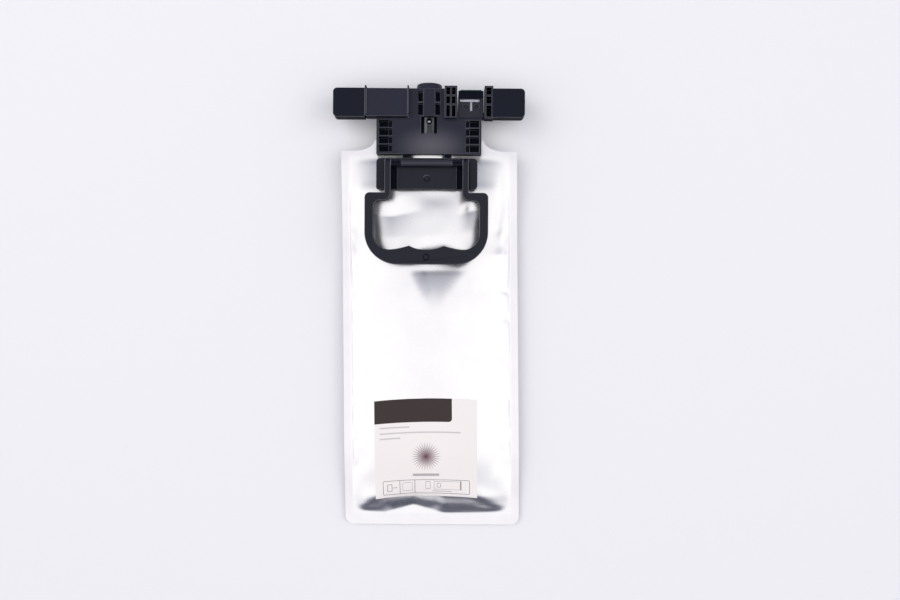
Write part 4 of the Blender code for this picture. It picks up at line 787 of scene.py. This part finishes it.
def film_heights(x, y):
    """Gives the heights of the upper and lower film at arrays of points."""
    body = half_width(y) - SIDE_WELD
    across = np.clip(np.abs(x) / body, 0, 1)
    seam = curve_through(SEAM_HEIGHTS, y)
    start = weld_start(x)
    fade = rising(y, WELD_LINE, BEND)
    shifted = WELD_LINE + np.maximum(y - start, 0) + (start - WELD_LINE) * fade * (y > start)
    back = curve_through(BACK_HEIGHTS, np.where(y < WELD_LINE + BEND, shifted, y))
    under_handle = rising(y, *FULLER_FROM) * falling(y, *FULLER_TO)
    swell = (back - seam) * (1 - across**2) ** (SECTION_POWER - FULLER * under_handle)
    mouth = MOUTH_RISE * rising(y, *MOUTH_FROM) * np.clip(1 - (x / MOUTH_HALF) ** 2, 0, 1)
    inside = falling(np.abs(x), body, FOLD_MARGIN) * rising(y, *FOLDS_FROM) * falling(y, *FOLDS_TO)
    top = seam + soft_max(np.maximum(swell + folds(x, y) * inside, mouth), FILM / 2, CORNER_SOFTNESS)
    fullness = rising(y, *HANG_FROM) * falling(y, *HANG_TO)
    hang = seam * fullness * np.minimum(WIDER_BELOW * (1 - across**3) ** SECTION_POWER, 1)
    bottom = seam - soft_max(np.maximum(hang, mouth), FILM / 2, CORNER_SOFTNESS)
    return top, np.maximum(bottom, TABLE_GAP)


# %% Pouch mesh
# Rows are closest near the bottom weld, where the film is bent most
FINE_ROWS_END = WELD_LINE + 16 * MM
FINE_ROW, WIDE_ROW = 0.55 * MM, 1.15 * MM
BODY_COLUMNS = 84
WELD_COLUMNS = 4
# How much closer the body's columns are at its sides: 0 is even, 1 is the spacing of a sine wave
COLUMN_CROWDING = 0.92


def pouch_rows():
    """Lists the y of each row of points."""
    rows = [POUCH_BOTTOM + CORNER * (1 - math.cos(math.radians(a))) for a in range(0, 90, 9)]
    rows += list(np.arange(POUCH_BOTTOM + CORNER, FINE_ROWS_END, FINE_ROW))
    rows += list(np.arange(FINE_ROWS_END, SHOULDER_Y, WIDE_ROW))
    rows += [SHOULDER_Y, SHOULDER_Y + 0.02 * MM]
    rows += [SHOULDER_Y + SHOULDER_RISE * (1 - math.cos(math.radians(a))) for a in range(9, 91, 9)]
    return np.array(rows)


def pouch_columns(y):
    """Lists the x of each point of the row at y."""
    half = float(half_width(y))
    body = half - SIDE_WELD
    turn = math.pi / 2 * COLUMN_CROWDING
    steps = [2 * i / BODY_COLUMNS - 1 for i in range(BODY_COLUMNS + 1)]
    inner = [body * math.sin(turn * step) / math.sin(turn) for step in steps]
    weld = [body + SIDE_WELD * (i + 1) / WELD_COLUMNS for i in range(WELD_COLUMNS)]
    return np.array([-x for x in reversed(weld)] + inner + weld)


def make_pouch():
    """Builds the two films as grids and joins them around their edges."""
    ys = pouch_rows()
    x = np.array([pouch_columns(y) for y in ys])
    columns = x.shape[1]
    y = np.repeat(ys[:, None], columns, axis=1)
    top, bottom = film_heights(x, y)
    shape = bmesh.new()
    upper, lower = [], []
    for i in range(len(ys)):
        upper.append([shape.verts.new(p) for p in zip(x[i], y[i], top[i])])
        lower.append([shape.verts.new(p) for p in zip(x[i], y[i], bottom[i])])
    for i in range(len(ys) - 1):
        for j in range(columns - 1):
            shape.faces.new((upper[i][j], upper[i][j + 1], upper[i + 1][j + 1], upper[i + 1][j]))
            shape.faces.new((lower[i][j], lower[i + 1][j], lower[i + 1][j + 1], lower[i][j + 1]))
        for j in (0, columns - 1):
            shape.faces.new((upper[i][j], upper[i + 1][j], lower[i + 1][j], lower[i][j]))
    for i in (0, len(ys) - 1):
        for j in range(columns - 1):
            shape.faces.new((upper[i][j], upper[i][j + 1], lower[i][j + 1], lower[i][j]))
    bmesh.ops.recalc_face_normals(shape, faces=shape.faces)
    mesh = bpy.data.meshes.new("ink_pouch")
    shape.to_mesh(mesh)
    shape.free()
    return new_piece("ink_pouch", mesh)


pouch = make_pouch()
print("pouch points:", len(pouch.data.vertices))

# %% [markdown]
# ## The pouch: puckers from a cloth simulation
#
# A flat film can't bend two ways at once. Where the liquid pushes it out beside a weld that stays straight, its
# spare length gathers in small puckers, square to the weld. They are hard to draw by hand, so a cloth simulation
# makes them: the welds and the neck are pinned, the film may grow by a little over one percent, and the liquid
# is a steady pressure without gravity. The result is smoothed, because aluminium film is stiffer than cloth, and
# its broad swelling is taken out, because the form above has that already. What remains is kept beside the side
# welds alone, up to 0.6 mm high, and fades out before the label, the bottom weld and the neck.


# %% Cloth helpers
FILM_STEPS = 18
FILM_GROWTH = 0.014
PRESSURE = 1.5
STIFFNESS, BENDING = 30, 0.02
FILM_SMOOTHINGS = 3
SWELL_SMOOTHINGS = 60
# Held: nearly all of the side welds, a little more than the bottom weld, and all beyond a line before the neck
SIDE_PIN = 0.95 * SIDE_WELD
BOTTOM_PIN = WELD_LINE + 0.5 * MM
NECK_PIN = 79 * MM


def film_points(mesh):
    """Reads the points as rows, the two films, columns and x, y, z."""
    points = np.empty(len(mesh.vertices) * 3)
    mesh.vertices.foreach_get("co", points)
    return points.reshape(len(pouch_rows()), 2, -1, 3)


def smoothed(grid):
    """Averages each point of every film with its neighbours along rows and columns."""
    wide = np.pad(grid, ((1, 1), (0, 0), (1, 1), (0, 0)), mode="edge")
    rows = (wide[:-2, :, 1:-1] + wide[2:, :, 1:-1]) / 2
    columns = (wide[1:-1, :, :-2] + wide[1:-1, :, 2:]) / 2
    return grid / 2 + rows / 4 + columns / 4


def pinned(points):
    """Gives 1 where the film is held and 0 elsewhere."""
    side = half_width(points[..., 1]) - np.abs(points[..., 0])
    held = np.maximum(side < SIDE_PIN, points[..., 1] < BOTTOM_PIN)
    return np.maximum(held, points[..., 1] > NECK_PIN).astype(float)


def pucker(piece):
    """Runs the simulation on a copy and gives each point's place and its move, without the broad swelling."""
    rest = film_points(piece.data)
    trial = new_piece("film_trial", piece.data.copy())
    take(trial)
    group = trial.vertex_groups.new(name="held")
    held = np.flatnonzero(pinned(rest).reshape(-1))
    group.add([int(i) for i in held], 1.0, "REPLACE")
    film = trial.modifiers.new("film", "CLOTH")
    film.point_cache.frame_end = FILM_STEPS
    film.collision_settings.use_collision = False
    settings = film.settings
    settings.quality = 4
    settings.mass = 0.1
    settings.tension_stiffness = STIFFNESS
    settings.compression_stiffness = STIFFNESS
    settings.bending_stiffness = BENDING
    settings.vertex_group_mass = "held"
    settings.shrink_min = -FILM_GROWTH
    settings.use_pressure = True
    settings.uniform_pressure_force = PRESSURE
    settings.effector_weights.gravity = 0
    for step in range(1, FILM_STEPS + 1):
        bpy.context.scene.frame_set(step)
    apply_modifier(trial, "film")
    moved = film_points(trial.data) - rest
    bpy.data.objects.remove(trial)
    bpy.context.scene.frame_set(1)
    for _ in range(FILM_SMOOTHINGS):
        moved = smoothed(moved)
    swell = moved
    for _ in range(SWELL_SMOOTHINGS):
        swell = smoothed(swell)
    return rest, moved - swell


# %% Cloth pass
PUCKER_CAP = 0.6 * MM
# Where the puckers start and stop, inward from the side weld and along the pouch: place, and length of the change
WELD_START, BODY_STOP = (0.0, 1.5 * MM), (4 * MM, 9 * MM)
BOTTOM_START, NECK_STOP = (WELD_LINE + 18 * MM, 16 * MM), (66 * MM, 16 * MM)

rest, moved = pucker(pouch)
print("puckers of up to mm:", round(float(np.abs(moved).max()) / MM, 2))
along = rest[..., 1]
side = half_width(along) - SIDE_WELD - np.abs(rest[..., 0])
near_weld = rising(side, *WELD_START) * (1 - rising(side, *BODY_STOP))
ends = rising(along, *BOTTOM_START) * falling(along, *NECK_STOP)
length = np.linalg.norm(moved, axis=-1, keepdims=True)
moved = moved * np.minimum(PUCKER_CAP / np.maximum(length, 1e-9), 1)
placed = rest + moved * (near_weld * ends)[..., None]
placed[..., 2] = np.maximum(placed[..., 2], TABLE_GAP)
pouch.data.vertices.foreach_set("co", placed.reshape(-1))
pouch.data.update()

# %% Weld attribute and lean
# The weld fades into the body over this length
WELD_EDGE = 0.8 * MM


def mark_weld(piece):
    """Stores 1 on the points of the weld and 0 on the pouch's body."""
    x, y, _ = film_points(piece.data).reshape(-1, 3).T
    side = half_width(y) - np.abs(x)
    past = np.maximum.reduce([SIDE_WELD - side, WELD_LINE - y, y - NECK_BACK])
    weld = np.clip(past / WELD_EDGE + 0.5, 0, 1)
    mark = piece.data.attributes.new("weld", "FLOAT", "POINT")
    mark.data.foreach_set("value", weld)


def lean_over(piece):
    """Leans a soft piece a little to one side below the neck, as it lies in the picture."""
    for vertex in piece.data.vertices:
        vertex.co.x += LEAN * max(NECK_BACK - vertex.co.y, 0)


mark_weld(pouch)

# %% [markdown]
# ## Aluminium laminate
#
# The film is polyester over aluminium over polythene: a mirror behind a thin clear skin, a little blurred because
# the aluminium is rolled. Its waves, centimetres long and less than a tenth of a millimetre high, are what break
# up a reflection, and they have no finer detail, since a stiff film has none. Where the welding bars pressed it,
# the foil is duller and has a fine cross grain of about half a millimetre, drawn at 0.8 mm here so that the
# picture can show it.

# %% Foil material
FOIL_GLOSS = {"Metallic": 1.0, "Coat Weight": 0.15, "Coat Roughness": 0.12}
foil, tree, shader = new_material("aluminium_laminate_film", FOIL_GLOSS)
place = object_place(tree)
weld = add(tree, "ShaderNodeAttribute", {"attribute_name": "weld"}).outputs["Fac"]
waves = noise(tree, place, 24 * MM, 0.0)
ripples = noise(tree, place, 7 * MM, 0.0)
bright = blend_colours(tree, waves, "F4F3F2", "FBFAF9")
tree.links.new(blend_colours(tree, weld, bright, "FAF9FA"), shader.inputs["Base Color"])
gloss = sums(tree, "MULTIPLY_ADD", ripples, 0.1, 0.24)
tree.links.new(sums(tree, "MULTIPLY_ADD", weld, 0.12, gloss), shader.inputs["Roughness"])
grid_values = {"Scale": 1 / (0.8 * MM), "Randomness": 0.15}
pressed = add(tree, "ShaderNodeTexVoronoi", {"distance": "CHEBYCHEV"}, {"Vector": place}, grid_values)
long_wave = bump(tree, waves, 0.5, 0.25 * MM)
short_wave = bump(tree, ripples, 0.3, 0.05 * MM, long_wave)
cross_grain = sums(tree, "MULTIPLY", pressed.outputs[0], weld)
tree.links.new(bump(tree, cross_grain, 0.25, 0.04 * MM, short_wave), shader.inputs["Normal"])

# %% [markdown]
# ## The label
#
# A coated paper label is stuck to the upper film and follows its curve. The grid is cut to the label's size, its
# upper and lower edges bow a little as in the picture, and each point gets the height of the film, which gives
# the label the same dents as the film under it. A Solidify modifier then gives the paper its thickness.

# %% Label sheet
LABEL_WIDTH = 56.5 * MM
LABEL_LENGTH = 55.2 * MM
LABEL_MIDDLE = (-3.0 * MM, -78.7 * MM)
LABEL_STEPS = 70
LABEL_BOW = 1.8 * MM
LABEL_TURN = math.radians(1.3)
PAPER = 0.1 * MM
GLUE = 0.08 * MM


def make_label():
    """Lays a grid of the label's size over the film."""
    let_go()
    bpy.ops.mesh.primitive_grid_add(x_subdivisions=LABEL_STEPS, y_subdivisions=LABEL_STEPS, size=1)
    sheet = bpy.context.active_object
    sheet.name = "paper_label"
    sheet.scale = (LABEL_WIDTH, LABEL_LENGTH, 1)
    sheet.location = (*LABEL_MIDDLE, 0)
    fix_place(sheet)
    for vertex in sheet.data.vertices:
        dx = vertex.co.x - LABEL_MIDDLE[0]
        vertex.co.y += LABEL_BOW * (0.5 - (2 * dx / LABEL_WIDTH) ** 2) + dx * LABEL_TURN
    points = np.array([vertex.co for vertex in sheet.data.vertices])
    top, _ = film_heights(points[:, 0], points[:, 1])
    for vertex, height in zip(sheet.data.vertices, top):
        vertex.co.z = height + GLUE
    return sheet


label = make_label()
lean_over(pouch)
lean_over(label)
thick = label.modifiers.new("paper", "SOLIDIFY")
thick.thickness = PAPER
thick.offset = 1
apply_modifier(label, "paper")
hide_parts("label")
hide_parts("ink_bag")
print("label spans mm:", round(LABEL_WIDTH / MM, 1), "by", round(LABEL_LENGTH / MM, 1))

# %% [markdown]
# ## Print on the label
#
# The print is fields of colour only: a dark title field with one rounded corner, three thin rules and a short bar
# where words would be, a burst of fine rays, and an outlined strip with divisions. Each field is a small sum over
# the label's own UV map, which is read in millimetres from its lower left corner, so every edge stays crisp.

# %% Print helpers
PAPER_GLOSS = {"Roughness": 0.6, "IOR": 1.48, "Specular IOR Level": 0.3}
paper, tree, shader = new_material("coated_label_paper", PAPER_GLOSS)
uv = add(tree, "ShaderNodeUVMap", {"uv_map": "UVMap"}).outputs[0]
size_mm = (LABEL_WIDTH / MM, LABEL_LENGTH / MM, 1.0)
in_mm = add(tree, "ShaderNodeVectorMath", {"operation": "MULTIPLY"}, {0: uv}, {1: size_mm})
axes = add(tree, "ShaderNodeSeparateXYZ", links={0: in_mm.outputs[0]})
ACROSS, UP = axes.outputs[0], axes.outputs[1]


def beyond(value, middle, half):
    """Gives how far a value lies beyond half on either side of middle, or 0."""
    distance = sums(tree, "ABSOLUTE", sums(tree, "SUBTRACT", value, middle))
    return sums(tree, "MAXIMUM", sums(tree, "SUBTRACT", distance, half), 0.0)


def hypotenuse(dx, dy):
    """Gives the length of the diagonal over two sides."""
    squares = sums(tree, "ADD", sums(tree, "MULTIPLY", dx, dx), sums(tree, "MULTIPLY", dy, dy))
    return sums(tree, "SQRT", squares)


def field(x0, x1, y0, y1, radius=0.0):
    """Gives 1 inside a rectangle with rounded corners, in millimetres on the label."""
    dx = beyond(ACROSS, (x0 + x1) / 2, (x1 - x0) / 2 - radius)
    dy = beyond(UP, (y0 + y1) / 2, (y1 - y0) / 2 - radius)
    return sums(tree, "LESS_THAN", hypotenuse(dx, dy), max(radius, 0.001))


def frame_line(x0, x1, y0, y1, line, radius=0.0):
    """Gives 1 on the outline of a rectangle."""
    outer = field(x0, x1, y0, y1, radius)
    inner = field(x0 + line, x1 - line, y0 + line, y1 - line, max(radius - line, 0.0))
    return sums(tree, "SUBTRACT", outer, inner, clamp=True)


def union(*fields):
    """Gives 1 where at least one of the fields is 1."""
    total = fields[0]
    for other in fields[1:]:
        total = sums(tree, "MAXIMUM", total, other)
    return total


# %% Label print
# Every rectangle is (left, right, lower, upper) in millimetres, with the line's width and the corner's radius
title = union(field(-1, 40.5, 42.4, 57), field(-1, 42.8, 44.4, 57), field(30, 42.8, 42.4, 52, 2.0))
strip = union(
    frame_line(4.2, 52.4, 1.6, 9.9, 0.3, 1.0),
    field(13.55, 13.85, 1.6, 9.9),
    field(21.85, 22.15, 1.6, 9.9),
    frame_line(15.2, 20.6, 3.4, 8.4, 0.16),
    frame_line(28.0, 30.6, 4.4, 8.8, 0.2),
    frame_line(32.6, 47.2, 4.0, 8.9, 0.16),
    frame_line(34.2, 36.4, 5.2, 8.0, 0.25, 1.0),
    field(47.2, 47.7, 4.0, 9.2),
    field(31.6, 42.4, 2.9, 3.15),
    frame_line(6.6, 9.4, 3.6, 7.8, 0.3),
    field(9.4, 12.2, 5.5, 5.8),
)
rules = union(field(3.0, 19.5, 39.4, 40.2), field(3.0, 47.5, 36.3, 37.1), field(3.0, 14.5, 33.4, 34.2))
name_bar = field(21.0, 35.5, 12.0, 13.4)

# %% Burst of rays
BURST_MIDDLE = (28.4, 23.2)
BURST_RAYS = 30.0
SHORTEST_RAY, RAY_GROWTH = 5.2, 3.4
burst_x = sums(tree, "SUBTRACT", ACROSS, BURST_MIDDLE[0])
burst_y = sums(tree, "SUBTRACT", UP, BURST_MIDDLE[1])
burst_angle = sums(tree, "MULTIPLY", sums(tree, "ARCTAN2", burst_y, burst_x), BURST_RAYS)
ray = sums(tree, "MULTIPLY_ADD", sums(tree, "COSINE", burst_angle), 0.5, 0.5)
ray_length = sums(tree, "MULTIPLY_ADD", ray, RAY_GROWTH, SHORTEST_RAY)
along_ray = sums(tree, "DIVIDE", hypotenuse(burst_x, burst_y), ray_length)
burst = sums(tree, "POWER", sums(tree, "SUBTRACT", 1.0, along_ray, clamp=True), 0.7)

# %% Paper and ink
fibre = noise(tree, object_place(tree), 0.7 * MM, 4.0)
tone = blend_colours(tree, fibre, "EDE7E4", "F1EBE8")
# Each printed shape, how well its ink covers, and the ink
INKS = (
    (burst, 1.0, "5E3442"),
    (rules, 0.45, "8A8587"),
    (name_bar, 0.7, "8A8587"),
    (strip, 0.85, "4E494B"),
    (title, 1.0, "382E2D"),
)
for shape, cover, ink in INKS:
    tone = blend_colours(tree, sums(tree, "MULTIPLY", shape, cover), tone, ink)
tree.links.new(tone, shader.inputs["Base Color"])
tree.links.new(bump(tree, fibre, 0.2, 0.01 * MM), shader.inputs["Normal"])

# %% Pouch and label finished
settle(pouch, "pack", foil, smooth=80)
settle(label, "pack", paper, smooth=50)

# %% [markdown]
# ## Floor and light
#
# The pack lies on a pale studio floor under soft light: one wide lamp behind it on the left, one on the right, one
# straight above, and a pale room around them. The room darkens, and turns bluer, towards the outlet's side and
# most of all towards the bottom weld's side. That draws the dark band across the steep lower end of the foil and
# the greys in its folds. The lamps don't show in the foil, which reflects the room alone. What the camera sees of
# the room is a plain pale backdrop.

# %% Floor
let_go()
bpy.ops.mesh.primitive_plane_add(size=6, location=(0, 0, 0))
floor = bpy.context.active_object
floor.name = "studio_floor"
floor_paint, tree, shader = new_material("studio_board_white", {"Roughness": 0.75})
shader.inputs["Base Color"].default_value = linear("EBEAEC")
floor.data.materials.append(floor_paint)


# %% Lamps
def soft_lamp(name, location, size, watts):
    """Hangs a square lamp that faces the pack."""
    bpy.ops.object.light_add(type="AREA", location=location)
    lamp = bpy.context.active_object
    lamp.name = name
    lamp.data.size = size
    lamp.data.energy = watts
    lamp.visible_glossy = False
    lamp.rotation_euler = (-Vector(location)).to_track_quat("-Z", "Y").to_euler()


soft_lamp("lamp_left", (-0.8, 0.6, 1.1), 0.8, 4.2)
soft_lamp("lamp_right", (1.0, 0.2, 1.1), 0.8, 2.6)
soft_lamp("lamp_above", (0.0, 0.0, 1.3), 1.0, 2.2)

# %% Room light
world = bpy.data.worlds.new("room")
bpy.context.scene.world = world
world.use_nodes = True
tree = world.node_tree
background = tree.nodes["Background"]
direction = add(tree, "ShaderNodeTexCoord").outputs["Generated"]
parts = add(tree, "ShaderNodeSeparateXYZ", links={0: direction})
toward_outlet = eased(tree, parts.outputs[1], 0.16, 0.54, 1.12, 0.4)
toward_weld = eased(tree, parts.outputs[1], -0.86, -0.48, 0.12, 1.0)
horizon = eased(tree, parts.outputs[2], 0.0, 0.35, 0.85, 1.0)
sideways = sums(tree, "MULTIPLY_ADD", sums(tree, "ABSOLUTE", parts.outputs[0]), 0.12, 1.0)
strength = sums(tree, "MULTIPLY", toward_outlet, toward_weld)
strength = sums(tree, "MULTIPLY", strength, horizon)
backdrop = add(tree, "ShaderNodeBackground", values={"Color": linear("EDEDF1"), "Strength": 1.0})
seen = add(tree, "ShaderNodeLightPath").outputs["Is Camera Ray"]
room = add(tree, "ShaderNodeMixShader", links={0: seen, 1: background.outputs[0], 2: backdrop.outputs[0]})
tree.links.new(room.outputs[0], tree.nodes["World Output"].inputs["Surface"])
tree.links.new(sums(tree, "MULTIPLY", strength, sideways), background.inputs["Strength"])
tree.links.new(blend_colours(tree, strength, "ABB4E0", "F9F8FB"), background.inputs["Color"])

# %% Picture settings
bpy.context.scene.view_settings.view_transform = "Standard"
